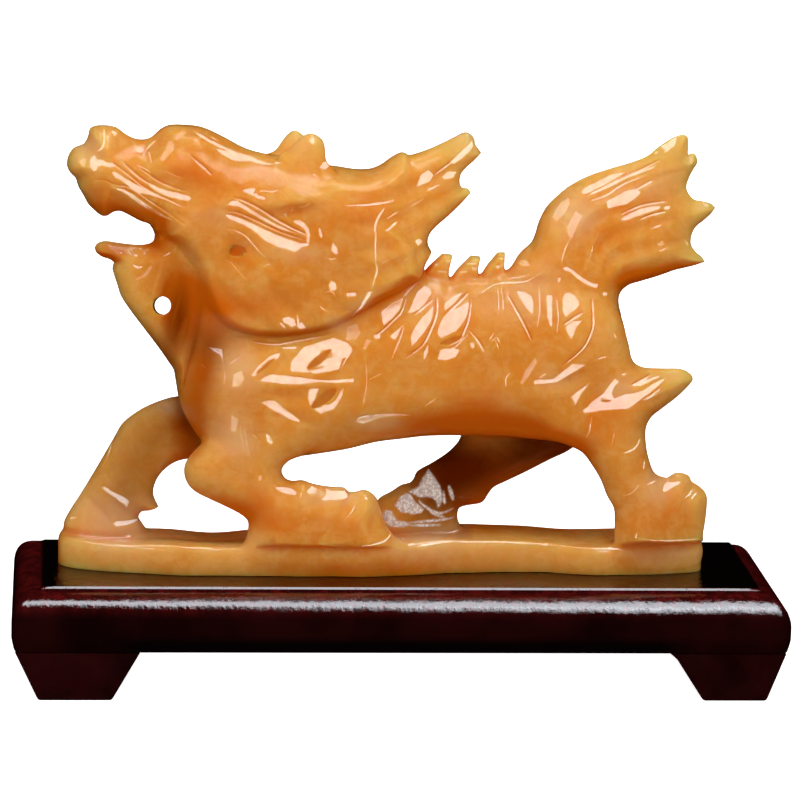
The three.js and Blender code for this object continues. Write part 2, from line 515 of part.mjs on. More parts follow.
// Edge collapse by quadric error, keeping the surface closed, until `target` triangles are left.
// The error that is allowed grows from sweep to sweep, so the flattest places thin out first.
function simplified({ positions, triangles }, target) {
  const vertexCount = positions.length / 3;
  const faces = Array.from({ length: vertexCount }, () => []);
  const quadrics = new Float64Array(vertexCount * 10);
  const alive = new Uint8Array(triangles.length / 3).fill(1);
  const point = (v) => [positions[3 * v], positions[3 * v + 1], positions[3 * v + 2]];
  const cornersOf = (f) => [triangles[3 * f], triangles[3 * f + 1], triangles[3 * f + 2]];
  const normalOf = (a, b, c) => {
    const [ux, uy, uz] = [b[0] - a[0], b[1] - a[1], b[2] - a[2]];
    const [vx, vy, vz] = [c[0] - a[0], c[1] - a[1], c[2] - a[2]];
    return [uy * vz - uz * vy, uz * vx - ux * vz, ux * vy - uy * vx];
  };
  for (let f = 0; f < alive.length; f++) {
    const corners = cornersOf(f);
    const [a, b, c] = corners.map(point);
    const n = normalOf(a, b, c);
    const area = Math.hypot(...n) || 1e-12;
    const [x, y, z] = n.map((value) => value / area);
    const d = -(x * a[0] + y * a[1] + z * a[2]);
    const q = [x * x, x * y, x * z, x * d, y * y, y * z, y * d, z * z, z * d, d * d];
    for (const v of corners) {
      faces[v].push(f);
      for (let i = 0; i < 10; i++) quadrics[10 * v + i] += q[i] * area;
    }
  }
  const sum = new Float64Array(10);
  const errorAt = (x, y, z) =>
    sum[0] * x * x + 2 * sum[1] * x * y + 2 * sum[2] * x * z + 2 * sum[3] * x + sum[4] * y * y +
    2 * sum[5] * y * z + 2 * sum[6] * y + sum[7] * z * z + 2 * sum[8] * z + sum[9];
  // The place of least error for two merged vertices, or the better of the ends and the middle.
  const merged = (u, v) => {
    for (let i = 0; i < 10; i++) sum[i] = quadrics[10 * u + i] + quadrics[10 * v + i];
    const [a, b, c, d, e, f, g, h, k] = sum;
    const det = a * (e * h - f * f) - b * (b * h - f * c) + c * (b * f - e * c);
    const [pu, pv] = [point(u), point(v)];
    const middle = [(pu[0] + pv[0]) / 2, (pu[1] + pv[1]) / 2, (pu[2] + pv[2]) / 2];
    const span = Math.hypot(pu[0] - pv[0], pu[1] - pv[1], pu[2] - pv[2]);
    const places = [middle, pu, pv];
    if (Math.abs(det) > 1e-4 * (a + e + h) ** 3) {
      const x = (-d * (e * h - f * f) + b * (g * h - f * k) - c * (g * f - e * k)) / det;
      const y = (-a * (g * h - f * k) + d * (b * h - f * c) - c * (b * k - g * c)) / det;
      const z = (-a * (e * k - g * f) + b * (b * k - g * c) - d * (b * f - e * c)) / det;
      if (Math.hypot(x - middle[0], y - middle[1], z - middle[2]) < 2 * span) {
        places.unshift([x, y, z]);
        places.length = 1;
      }
    }
    let best = { place: places[0], error: Infinity };
    for (const place of places) {
      const error = Math.max(0, errorAt(...place)) + 1e-6 * span;
      if (error < best.error) best = { place, error };
    }
    return best;
  };
  const neighbours = (v) => {
    const ring = new Set();
    for (const f of faces[v]) {
      for (let k = 0; k < 3; k++) ring.add(triangles[3 * f + k]);
    }
    ring.delete(v);
    return ring;
  };
  const turnsOver = (v, other, place) => faces[v].some((f) => {
    const corners = cornersOf(f);
    if (corners.includes(other)) return false;
    const before = normalOf(...corners.map(point));
    const after = normalOf(...corners.map((c) => (c === v ? place : point(c))));
    const dot = before[0] * after[0] + before[1] * after[1] + before[2] * after[2];
    return dot < 0.2 * Math.hypot(...before) * Math.hypot(...after) || Math.hypot(...after) < 1e-3;
  });
  let left = alive.length;
  const collapse = (u, v, place, shared) => {
    const kept = [];
    for (const f of [...faces[u], ...faces[v]]) {
      if (!alive[f]) continue;
      const corners = cornersOf(f);
      if (corners.includes(u) && corners.includes(v)) {
        alive[f] = 0;
        left--;
        for (const n of shared) faces[n] = faces[n].filter((g) => g !== f);
        continue;
      }
      const k = corners.indexOf(v);
      if (k >= 0) triangles[3 * f + k] = u;
      kept.push(f);
    }
    faces[u] = kept;
    faces[v] = [];
    for (let k = 0; k < 3; k++) positions[3 * u + k] = place[k];
    for (let i = 0; i < 10; i++) quadrics[10 * u + i] += quadrics[10 * v + i];
  };
  for (let allowed = 1e-3; left > target && allowed < 1e4; allowed *= 1.35) {
    for (let u = 0; u < vertexCount && left > target; u++) {
      if (!faces[u].length) continue;
      const ring = neighbours(u);
      let [v, best] = [-1, { error: allowed }];
      for (const n of ring) {
        const choice = merged(u, n);
        if (choice.error < best.error) [v, best] = [n, choice];
      }
      if (v < 0) continue;
      const other = neighbours(v);
      const shared = [...ring].filter((n) => other.has(n));
      if (shared.length !== 2) continue;
      if (turnsOver(u, v, best.place) || turnsOver(v, u, best.place)) continue;
      collapse(u, v, best.place, shared);
    }
  }
  const numbers = new Map();
  const keptPositions = [];
  const keptTriangles = [];
  for (let f = 0; f < alive.length; f++) {
    if (!alive[f]) continue;
    for (const v of cornersOf(f)) {
      if (!numbers.has(v)) {
        numbers.set(v, numbers.size);
        keptPositions.push(...point(v));
      }
      keptTriangles.push(numbers.get(v));
    }
  }
  return { positions: keptPositions, triangles: keptTriangles };
}

const wasm = await Module();
wasm.setup();

function solid(positions, triangles) {
  return new wasm.Manifold(new wasm.Mesh({
    numProp: 3,
    vertProperties: Float32Array.from(positions),
    triVerts: Uint32Array.from(triangles),
  }));
}
function solidOfGeometry(geometry) {
  const bare = geometry.clone();
  bare.deleteAttribute("normal");
  bare.deleteAttribute("uv");
  const merged = mergeVertices(bare, 1e-4);
  return solid(merged.attributes.position.array, merged.index.array);
}
function geometryOf({ positions, triangles }) {
  const geometry = new THREE.BufferGeometry();
  geometry.setAttribute("position", new THREE.Float32BufferAttribute(positions, 3));
  geometry.setIndex(Array.from(triangles));
  geometry.computeVertexNormals();
  return geometry;
}

// A round bore along y through (x, z), tipped so that it rises towards the viewer.
function bore(diameter, length, x, y, z, tilt) {
  const radius = diameter / 2;
  const geometry = new THREE.CylinderGeometry(radius, radius, length, 24);
  geometry.rotateX((-tilt * Math.PI) / 180);
  geometry.translate(x, y, z);
  return solidOfGeometry(geometry);
}

function carving() {
  const surface = zeroSurface(carvingField());
  const rough = solid(surface.positions.map((value) => value * GROW), surface.triangles);
  const floor = new THREE.BoxGeometry(4 * FIGURE_LENGTH, 4 * FIGURE_LENGTH, 100);
  floor.translate(0, 0, -50);
  const [holeX, holeZ] = HOLE_AT.map((value) => value * GROW);
  const [dimpleX, dimpleZ] = DIMPLE_AT.map((value) => value * GROW);
  const cheek = (UNIT.midY - UNIT.cheekHalf) * GROW;
  const cut = rough
    .subtract(solidOfGeometry(floor))
    .subtract(bore(CHIN_HOLE_DIAMETER, 60, holeX, UNIT.midY * GROW, holeZ, CHIN_HOLE_TILT))
    .subtract(bore(DIMPLE_DIAMETER, 2 * DIMPLE_DEPTH, dimpleX, cheek, dimpleZ, 0));
  const mesh = cut.getMesh();
  return geometryOf(simplified({
    positions: Float64Array.from(mesh.vertProperties),
    triangles: Int32Array.from(mesh.triVerts),
  }, CARVING_TRIANGLES));
}

// A ring of points round a rectangle with rounded corners, counter-clockwise seen from above.
const CORNER_STEPS = 5;
function roundedRing(x0, x1, y0, y1, radius, z) {
  const ring = [];
  const corners = [[x1, y1, 0], [x0, y1, 1], [x0, y0, 2], [x1, y0, 3]];
  for (const [x, y, quarter] of corners) {
    for (let i = 0; i < CORNER_STEPS; i++) {
      const angle = (quarter + i / (CORNER_STEPS - 1)) * (Math.PI / 2);
      const inX = Math.sign(x1 + x0 - 2 * x) * radius;
      const inY = Math.sign(y1 + y0 - 2 * y) * radius;
      ring.push([x + inX + radius * Math.cos(angle), y + inY + radius * Math.sin(angle), z]);
    }
  }
  return ring;
}
// Skin over rings from bottom to top, closed below and above by flat faces.
function loft(rings) {
  const n = rings[0].length;
  const positions = rings.flat(2);
  const triangles = [];
  for (let r = 0; r + 1 < rings.length; r++) {
    for (let i = 0; i < n; i++) {
      const [a, b] = [r * n + i, r * n + ((i + 1) % n)];
      triangles.push(a, b, b + n, a, b + n, a + n);
    }
  }
  const last = (rings.length - 1) * n;
  for (let i = 1; i + 1 < n; i++) {
    triangles.push(0, i + 1, i);
    triangles.push(last, last + i, last + i + 1);
  }
  return geometryOf({ positions, triangles });
}

// The moulded edge of the board as (inset, height) pairs from its underside to the panel.
function boardProfile() {
  const profile = [[UNDERCUT, 0], [0.4 * UNDERCUT, 0.55 * UNDERCUT_HEIGHT], [0, UNDERCUT_HEIGHT]];
  const shoulderFoot = BOARD_EDGE_HEIGHT - SHOULDER_HEIGHT;
  const steps = 7;
  for (let i = 0; i <= steps; i++) {
    const angle = (i / steps) * (Math.PI / 2);
    profile.push([
      SHOULDER_WIDTH * (1 - Math.cos(angle)),
      shoulderFoot + SHOULDER_HEIGHT * Math.sin(angle),
    ]);
  }
  profile.push([PANEL_INSET, BOARD_EDGE_HEIGHT + 0.05 * PANEL_RISE]);
  profile.push([PANEL_INSET + 0.1 * PANEL_RISE, BOARD_EDGE_HEIGHT + 0.7 * PANEL_RISE]);
  profile.push([PANEL_INSET + 0.5 * PANEL_RISE, BOARD_EDGE_HEIGHT + PANEL_RISE]);
  return profile;
}
function board() {
  const [halfX, halfY] = [BOARD_LENGTH / 2, BOARD_DEPTH / 2];
  return loft(boardProfile().map(([inset, z]) => {
    const radius = Math.max(0.6, BOARD_CORNER_RADIUS - 0.35 * inset);
    return roundedRing(inset - halfX, halfX - inset, inset - halfY, halfY - inset, radius, z);
  }));
}

// A tapered foot. side is -1 at the left and 1 at the right, end is -1 in front and 1 behind.
function foot(side, end) {
  const { inset, top, bottom, taper, flare } = side < 0 ? LEFT_FOOT : RIGHT_FOOT;
  const outerX = BOARD_LENGTH / 2 - inset;
  const outerY = BOARD_DEPTH / 2 - FOOT_FRONT_INSET;
  const ring = (up, more) => {
    const length = bottom + (top - bottom) * up + more;
    const depth = FOOT_BOTTOM_DEPTH + (FOOT_TOP_DEPTH - FOOT_BOTTOM_DEPTH) * up;
    const x = outerX - taper * (1 - up);
    const y = outerY - FOOT_FRONT_TAPER * (1 - up);
    const xs = [side * x, side * (x - length)].sort((a, b) => a - b);
    const ys = [end * y, end * (y - depth)].sort((a, b) => a - b);
    return roundedRing(xs[0], xs[1], ys[0], ys[1], FOOT_CORNER_RADIUS, FOOT_HEIGHT * up);
  };
  return loft([ring(0, 0), ring(1 - FLARE_HEIGHT / FOOT_HEIGHT, 0), ring(1, flare)]);
}

const qilin = new THREE.Group();
function piece(name, geometry, material, height) {
  const mesh = new THREE.Mesh(geometry, material);
  mesh.name = name;
  mesh.position.z = height;
  qilin.add(mesh);
}
const boardBottom = FOOT_HEIGHT + GLUE_GAP;
const panelTop = boardBottom + BOARD_EDGE_HEIGHT + PANEL_RISE;
piece("qilin_carving", carving(), stone, panelTop + SEAT_GAP);
piece("plinth_board", board(), lacquer, boardBottom);
piece("foot_front_left", foot(-1, -1), lacquer, 0);
piece("foot_front_right", foot(1, -1), lacquer, 0);
piece("foot_back_left", foot(-1, 1), lacquer, 0);
piece("foot_back_right", foot(1, 1), lacquer, 0);

export default qilin;
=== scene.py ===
import math

import bpy
import numpy as np
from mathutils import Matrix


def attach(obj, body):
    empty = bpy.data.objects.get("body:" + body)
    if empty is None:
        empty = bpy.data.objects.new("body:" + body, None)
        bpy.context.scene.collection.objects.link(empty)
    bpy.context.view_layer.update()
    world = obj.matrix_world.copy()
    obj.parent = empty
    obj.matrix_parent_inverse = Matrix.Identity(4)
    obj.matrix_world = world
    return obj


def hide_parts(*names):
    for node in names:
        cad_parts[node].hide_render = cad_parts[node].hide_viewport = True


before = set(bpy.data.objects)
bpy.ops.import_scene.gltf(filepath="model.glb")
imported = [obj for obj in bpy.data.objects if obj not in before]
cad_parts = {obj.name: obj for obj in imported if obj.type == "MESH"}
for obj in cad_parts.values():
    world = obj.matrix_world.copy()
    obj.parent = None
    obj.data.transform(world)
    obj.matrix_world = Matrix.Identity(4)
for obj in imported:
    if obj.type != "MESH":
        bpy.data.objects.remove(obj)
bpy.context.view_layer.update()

import openvdb
from mathutils import Matrix, Vector

MM = 0.001
STEP = 0.42  # lattice of the carving, mm
CARVING_TRIANGLES = 194000

# Sizes of the stand, in mm.
BOARD_LENGTH = 300.0
BOARD_DEPTH = 95.0
FOOT_HEIGHT = 19.3
BOARD_BOTTOM = 19.5
BOARD_EDGE_HEIGHT = 21.7
PANEL_RISE = 1.6
PANEL_INSET = 11.0
CHAMFER = 0.75
SHOULDER_WIDTH = 10.0
SHOULDER_HEIGHT = 12.0
UNDERCUT = 1.0
UNDERCUT_HEIGHT = 5.7
SEAT = 43.0  # underside of the stone base

# Sizes of the carving, in mm. Its heights start at SEAT.
MID_Y = -4.0
NEAR_LEG_Y = -14.0
FAR_LEG_Y = 6.5
LEG_HALF = 10.0
BODY_HALF = 20.5
CHEEK_HALF = 21.4
SLAB_TOP = 11.8
SLAB_ROUNDING = 3.2
SLAB_BLEND = 3.5
SLAB_REACH = 26.0  # up to this height the base slab and the forms above it are joined
OVERHANG = 9.0  # how far a foot may hang over the edge of the slab
TOOTH_HALF = 4.2
TOOTH_EDGE = 1.8
TOOTH_BLEND = 1.4
TOOTH_ROOT = 6.0  # how deep a tooth reaches into the back
HEAD_BLEND = 0.8
OUTSIDE = 40.0  # what the lattice holds where there is no form near by

# Outlines seen from the side (x, z). A third value of 1 marks a sharp corner.
HEAD = [
    (-130.2, 157), (-129.6, 161), (-127.5, 163.8), (-124, 165.3), (-122.4, 168), (-121.6, 171.2),
    (-119.5, 172.3), (-115.5, 172.5), (-111.5, 171.8), (-108.5, 169.6), (-105, 167.7),
    (-101.5, 167.2), (-98.5, 168), (-95, 171), (-91.5, 172.6), (-86, 172.8), (-79, 172.1),
    (-71, 168.7), (-62, 164.2), (-54, 162.1), (-44, 160.6), (-34, 158), (-26, 156), (-18, 154.5),
    (-10, 149),
    (-14, 125), (-40, 106), (-60, 103), (-72, 107), (-79, 114), (-84, 123), (-89, 130), (-93, 133.6),
    (-96.6, 132.8), (-98.5, 134.9), (-102.5, 136.3), (-106.5, 138.4), (-110, 139.9), (-112.5, 139.4),
    (-114.7, 137.9), (-117, 138), (-119.6, 140), (-122, 142.4), (-124, 146), (-125.8, 149),
    (-127, 152.5), (-128.9, 154.3),
]
BEARD = [
    (-119.4, 125.3), (-118.2, 127.1), (-115.3, 127.9), (-110, 127.2), (-104, 126.6), (-99.5, 126.8),
    (-97, 128), (-95.9, 131), (-93, 134), (-84, 130), (-78, 116), (-77, 98), (-81, 82),
    (-85.6, 69.5), (-87.3, 74), (-88.5, 78), (-90.5, 81.2), (-95, 87.5), (-100, 94), (-105, 100.5),
    (-109.2, 106.8), (-110.4, 110.5), (-111.6, 114), (-112.6, 117.2, 1), (-112, 119.8, 1),
    (-113.6, 121), (-116.5, 121.9), (-118.9, 123.7),
]
JOWL = [
    (-93, 133), (-88, 128.5), (-83, 121.5), (-79.5, 111), (-76, 102), (-69.5, 95.8), (-60, 92.6),
    (-50, 91.7), (-40, 92.5), (-30, 94.8), (-20, 99.7), (-10, 106), (0, 113.4), (6.5, 118),
    (2, 135), (-20, 150), (-50, 156), (-75, 152), (-90, 143),
]
MANE = [
    (-32, 156.6), (-27.5, 157), (-20, 156.2), (-14, 156.6), (-10, 158.4), (-6.5, 161.2),
    (-3, 163.3), (-1, 163.4), (0.4, 162.5), (3, 163.1), (8, 165), (14, 167.9), (20, 171.1),
    (22, 171.8), (24.2, 170.8), (25.5, 169), (25.7, 167.3), (27, 165.5), (28.2, 163.9, 1),
    (25.6, 161), (22.4, 158), (20.6, 155.5), (20.2, 152.3), (21.2, 150.2), (23.4, 150),
    (24.6, 148.4, 1), (21, 144.2), (16, 139.3), (11, 134.9), (9, 132.3), (8.4, 129.6),
    (8.9, 127.3), (10.1, 125.4, 1), (9, 123.2), (7, 120.3), (6.4, 118), (5, 115), (-8, 108),
    (-30, 104), (-50, 120), (-45, 150),
]
NECK = [
    (-93, 132), (-88, 122), (-86, 105), (-86.5, 88), (-86.5, 74), (-82, 62), (-70, 56), (-40, 62),
    (0, 84), (14, 108), (7, 116.2), (0, 130), (-30, 140), (-60, 140),
]
TORSO = [
    (-86, 70), (-86, 84), (-76, 98), (-40, 107), (-10, 111), (5, 114.6), (12, 115.6), (18.5, 114.6),
    (24, 115.9), (30, 116.2), (36, 117.6), (41, 118), (48, 120.5), (58, 122.5), (68, 120),
    (77, 114), (82.8, 106.4), (85.3, 98), (86, 90), (87, 76), (80, 60), (68, 50), (60, 50.8),
    (50, 51.8), (40, 52.8), (25, 53), (10, 52.7), (0, 51.5), (-10, 50.1), (-20, 47.5), (-30, 45.7),
    (-42, 44), (-58, 43), (-74, 47), (-83, 58),
]
NEAR_FORELEG = [
    (-84.3, 39.5), (-83.8, 43), (-81.5, 46.8), (-77, 51.5), (-73, 56), (-72.5, 66), (-70, 78),
    (-62, 88), (-48, 91), (-34, 84), (-26, 70), (-29, 56), (-38, 47.5), (-44, 44.5), (-46.6, 41),
    (-45.4, 37.6), (-42.5, 36.2), (-38.5, 36.5), (-34, 35), (-27, 33.9), (-22, 33.6), (-20.2, 32),
    (-17.5, 32), (-14.5, 32.8), (-11.5, 31.6), (-9.4, 29.4), (-7.6, 24.5), (-5.3, 18.5),
    (-2, 14.3), (1, 11), (-2, 4), (-55, 4), (-60, 10), (-59.2, 17), (-59.4, 20.4), (-62, 23),
    (-68.5, 26.5), (-74.5, 29.3), (-80, 32.2), (-83, 35.4),
]
FAR_FORELEG = [
    (-84.5, 66), (-90, 64.2), (-95, 62.4), (-100, 60), (-105, 56.6), (-108.3, 53.4),
    (-110.8, 48.8), (-114, 43), (-117.3, 37), (-120.4, 31.6), (-124, 25.4), (-127.5, 19.8),
    (-130, 15), (-130.2, 13.2), (-129.3, 11.6), (-129, 5), (-104, 4), (-98, 9), (-99.6, 14),
    (-101.2, 16.4), (-100, 18.9), (-97, 19.3), (-94.8, 20), (-93.3, 20.8, 1), (-94.2, 22.4),
    (-95.4, 25.5), (-95.3, 28.8), (-93.6, 33), (-90.5, 36.6), (-86.5, 39.2), (-81.5, 40.4),
    (-75, 41), (-66, 48), (-58, 64), (-64, 80), (-75, 84), (-82, 77),
]
NEAR_HIND_LEG = [
    (60, 112), (72, 112), (82, 104), (86.5, 92), (88.5, 85), (92.5, 82.2), (100, 81.6),
    (108, 81.3), (111.5, 79.6), (112.6, 77.5), (110.6, 74.5), (106, 70), (100, 65.5), (96.5, 62.6),
    (94.6, 58), (95.3, 50), (96.8, 44.6), (98.5, 40.8), (101, 38.8), (104.5, 38.2), (107, 39.8),
    (110, 39.9), (112.9, 38.6), (113.8, 36.6), (117, 34.6), (119.8, 31.4), (120.2, 26), (119.3, 16),
    (118, 5), (90, 4), (84.5, 12), (84, 20.5), (83.4, 26), (80.5, 31), (77.8, 37.4), (74, 43.5),
    (70, 48.4), (64, 51.5), (54, 56), (46, 72), (47, 96),
]
FAR_HIND_LEG = [
    (24.8, 50), (23.8, 47.4), (20, 43.2), (14, 39), (7.8, 35.2), (6.4, 32), (4.8, 30.6), (2, 29.9),
    (-2, 27.2), (-7, 24.1), (-10, 17), (-10, 5), (24, 4), (25.4, 12), (24.2, 17.6), (24.8, 21),
    (27.2, 22), (32.8, 23), (34.6, 24.2), (36.2, 27), (38.2, 29.6), (42, 31.6), (50, 35.6),
    (60, 41), (68, 45.2), (80, 56), (84, 84), (72, 106), (52, 104), (36, 84), (28, 62),
]
TAIL = [
    (41, 116), (43.4, 123), (46, 126.2), (48.6, 128.6), (50.1, 132), (51.4, 137),
    (54.2, 142.8), (58, 147.4), (63.3, 151.7), (70, 155.4), (78, 158.3), (86, 160.8), (92, 163.3),
    (97, 167.2), (101.5, 170.3), (105.5, 171.9), (107.4, 171.6), (108.2, 170.4, 1), (108.3, 164, 1),
    (110.4, 164.8), (111.7, 163.3), (112.1, 161), (110.8, 158.8), (109.2, 155.5), (108.2, 151.8),
    (108.9, 149.4), (111.4, 146.7), (115.2, 146), (118.2, 145.1), (119.9, 143.6, 1),
    (118.2, 141.2), (115.5, 138.6), (112.4, 135.9), (111, 132.6), (110.9, 129.2), (112.8, 126.3),
    (115.4, 124.2), (116.7, 122.3, 1), (112, 120.7), (105, 119), (98, 116.5), (91, 114.4),
    (87, 113.1), (84.3, 110.8), (81, 104), (70, 104), (50, 110),
]
NEAR_HORN = [
    (-50, 162.4), (-46, 166), (-42, 170), (-38.5, 171.9), (-35.2, 170.9), (-33.1, 168.7),
    (-32.4, 165.3), (-31.9, 161.6), (-29, 157), (-34, 153), (-46, 155),
]
FAR_HORN = [
    (-53.4, 159), (-50, 162.8), (-47.4, 166.7), (-45, 169.4), (-42.9, 170.2), (-40, 168.6),
    (-35, 163), (-34, 157), (-46, 154),
]
SLAB_PLAN = [
    (-131.2, -5.5), (-124, -11), (-110, -15.5), (-96, -18.6), (-78, -20.4), (-58, -20.4),
    (-38, -20.8), (-18, -21.8), (0, -19.6), (20, -15.6), (40, -13.2), (56, -13.4), (68, -16.6),
    (84, -17.8), (98, -16.8), (110, -14.6), (117, -11.4), (119.5, -6), (119.6, 6), (116, 13.5),
    (98, 16), (50, 16.5), (-20, 16), (-80, 16.5), (-118, 15), (-130.2, 10), (-132.4, 1),
]

# The teeth along the spine, flat-topped blades: front foot, both ends of the top, back foot.
TEETH = [
    ((7.4, 117.0), (14.3, 124.3), (18.3, 124.0), (17.0, 117.0)),
    ((19.0, 116.4), (25.4, 123.7), (29.2, 123.4), (28.3, 118.0)),
    ((30.6, 118.0), (35.7, 125.0), (38.6, 125.1), (38.5, 119.4)),
]


def tooth_outline(front, top_front, top_back, back):
    return [
        (front[0] - 1.5, front[1] - TOOTH_ROOT), front, (*top_front, 1), (*top_back, 1), back,
        (back[0] + 0.5, back[1] - TOOTH_ROOT),
    ]


def even(half, y):
    """Half the thickness across y and the middle of it, the same all over."""
    return dict(start=(0, 0), end=(1, 0), half=(half, half), y=(y, y))


def taper(start, end, half, y):
    """The same, but changing from one to the other between start and end, both (x, z)."""
    return dict(start=start, end=end, half=half, y=y)


# outline, how far in from the outline its face keeps swelling, blend, thickness across y
BODY_FORMS = [
    (TORSO, 24, 0, even(BODY_HALF, MID_Y)),
    (NECK, 18, 5, even(17, MID_Y)),
    (FAR_FORELEG, 10, 3, even(LEG_HALF - 1, FAR_LEG_Y)),
    (FAR_HIND_LEG, 10, 3, taper((40, 70), (10, 20), (11, 9), (FAR_LEG_Y, FAR_LEG_Y))),
    (NEAR_FORELEG, 11, 3, even(LEG_HALF, NEAR_LEG_Y)),
    (NEAR_HIND_LEG, 11, 3,
     taper((90, 76), (110, 78), (LEG_HALF + 0.5, 6.5), (NEAR_LEG_Y + 0.5, NEAR_LEG_Y + 2))),
    (TAIL, 12, 2.5, taper((62, 120), (112, 150), (14.5, 5), (MID_Y, MID_Y))),
]
HEAD_FORMS = [
    (BEARD, 7, 0, taper((-78, 110), (-106, 118), (17, 7), (MID_Y, MID_Y))),
    (HEAD, 15, 3, taper((-118, 156), (-80, 150), (14.5, 20), (MID_Y, MID_Y))),
    (JOWL, 7, 7, even(CHEEK_HALF, MID_Y)),
    (MANE, 5.5, 2.5, taper((-22, 138), (22, 156), (21, 5.5), (MID_Y, MID_Y))),
    (NEAR_HORN, 5, 3, even(4.6, MID_Y - 9)),
    (FAR_HORN, 5, 3, even(4.6, MID_Y + 9)),
]

LOW = np.array([-137.0, -32.0, -2.0])
HIGH = np.array([125.0, 24.0, 178.0])
GX, GY, GZ = (np.arange(LOW[k], HIGH[k], STEP).astype(np.float32) for k in range(3))
SHAPE = (len(GX), len(GY), len(GZ))


def smooth_loop(points, step=1.2):
    """A closed smooth loop through the points, with a corner where one is marked."""
    pts = [np.array(p[:2], float) for p in points]
    sharp = [len(p) > 2 for p in points]
    n = len(pts)
    loop = []
    for i in range(n):
        p0, p1, p2, p3 = (pts[(i + k) % n] for k in (-1, 0, 1, 2))
        before, span, after = (np.linalg.norm(b - a) for a, b in ((p0, p1), (p1, p2), (p2, p3)))
        leave = p2 - p1 if sharp[i] else (p2 - p0) * span / (before + span)
        arrive = p2 - p1 if sharp[(i + 1) % n] else (p3 - p1) * span / (span + after)
        pieces = max(1, round(span / step))
        t = (np.arange(pieces) / pieces)[:, None]
        loop.append((2 * t**3 - 3 * t**2 + 1) * p1 + (t**3 - 2 * t**2 + t) * leave
                    + (3 * t**2 - 2 * t**3) * p2 + (t**3 - t**2) * arrive)
    return np.concatenate(loop)


def loop_distance(loop, u, v):
    """Distance from each (u, v) to the loop, negative inside."""
    a = loop
    b = np.roll(loop, -1, axis=0)
    nearest = np.full(u.shape, 1e9, np.float32)
    inside = np.zeros(u.shape, bool)
    for (ax, az), (bx, bz) in zip(a, b):
        ex, ez = bx - ax, bz - az
        du, dv = u - ax, v - az
        t = np.clip((du * ex + dv * ez) / (ex * ex + ez * ez), 0, 1)
        np.minimum(nearest, (du - t * ex) ** 2 + (dv - t * ez) ** 2, out=nearest)
        if az != bz:
            inside ^= ((bz > v) != (az > v)) & (u < (ax - bx) * (v - bz) / (az - bz) + bx)
    d = np.sqrt(nearest)
    return np.where(inside, -d, d).astype(np.float32)


def soft_union(a, b, blend):
    if blend <= 0:
        return np.minimum(a, b)
    h = np.maximum(blend - np.abs(a - b), 0) / blend
    return np.minimum(a, b) - h * h * blend / 4


def smoothstep(t):
    t = np.clip(t, 0, 1)
    return t * t * (3 - 2 * t)


def add_forms(field, forms, reach=7.0):
    """Each form as a pillow over its outline, softly joined to what is there."""
    for outline, edge, blend, run in forms:
        loop = smooth_loop(outline)
        lo, hi = loop.min(0) - reach, loop.max(0) + reach
        i0, i1 = np.searchsorted(GX, [lo[0], hi[0]])
        k0, k1 = np.searchsorted(GZ, [lo[1], hi[1]])
        x, z = np.meshgrid(GX[i0:i1], GZ[k0:k1], indexing="ij")
        d = loop_distance(loop, x, z)
        along = np.array(run["end"], float) - run["start"]
        s = smoothstep(((x - run["start"][0]) * along[0] + (z - run["start"][1]) * along[1])
                       / (along @ along))
        half = (run["half"][0] + (run["half"][1] - run["half"][0]) * s)[:, None, :]
        yc = (run["y"][0] + (run["y"][1] - run["y"][0]) * s)[:, None, :]
        q = (np.maximum(d + edge, 0) / edge)[:, None, :]
        p = (GY[None, :, None] - yc) / half
        r = np.sqrt(q * q + p * p)
        value = (r - 1) * r / (np.sqrt((q / edge) ** 2 + (p / half) ** 2) + 1e-6)
        part = field[i0:i1, :, k0:k1]
        part[:] = soft_union(part, value.astype(np.float32), blend)


def add_slab(field):
    loop = smooth_loop(SLAB_PLAN, 2)
    x, y = np.meshgrid(GX, GY, indexing="ij")
    plan = loop_distance(loop, x, y)
    # the rough edge of the block
    plan += 0.5 * np.sin(x / 9.1 + 0.6) * np.sin(x / 23.0) + 0.25 * np.sin(x / 3.7 + y / 5)
    plan = (plan + SLAB_ROUNDING)[:, :, None]
    # its top is worn down below the far foreleg and left higher at the far hind foot
    worn = 2.2 * np.exp(-(((x + 76) / 20) ** 2)) * smoothstep((y + 14) / 16)
    crest = 2.0 * np.exp(-(((x - 22) / 24) ** 2)) - 0.8
    top = SLAB_TOP + crest - worn + 0.4 * np.sin(x / 7.3 + 1)
    k1 = int(np.searchsorted(GZ, SLAB_REACH))
    rise = GZ[None, None, :k1] - top[:, :, None] + SLAB_ROUNDING
    value = (np.minimum(np.maximum(plan, rise), 0)
             + np.hypot(np.maximum(plan, 0), np.maximum(rise, 0)) - SLAB_ROUNDING)
    # the feet hang over the edge of the slab only above its top
    over = OVERHANG * smoothstep((GZ[None, None, :k1] - SLAB_TOP + 0.8) / 6)
    part = np.maximum(field[:, :, :k1], plan - SLAB_ROUNDING - over)
    field[:, :, :k1] = soft_union(part, value, SLAB_BLEND)


# The carving of one side, kept as maps over (x, z): how deep the stone is cut, and where a
# polished cut lies at a lean of its own. A lean is the slope of the cut face: dy/dx and dy/dz.
MAP_STEP = 0.25
MX, MZ = (np.arange(LOW[k], HIGH[k], MAP_STEP).astype(np.float32) for k in (0, 2))
UP_LEAN = (0.04, 0.84)  # a cut that faces the overhead light
DOWN_LEAN = (0.0, -0.45)  # a cut that faces the ground
FULL_DEPTH_AT = 0.9  # mm in from the rim
WALL_DEPTH = 0.3
SWELL_MARGIN = 1


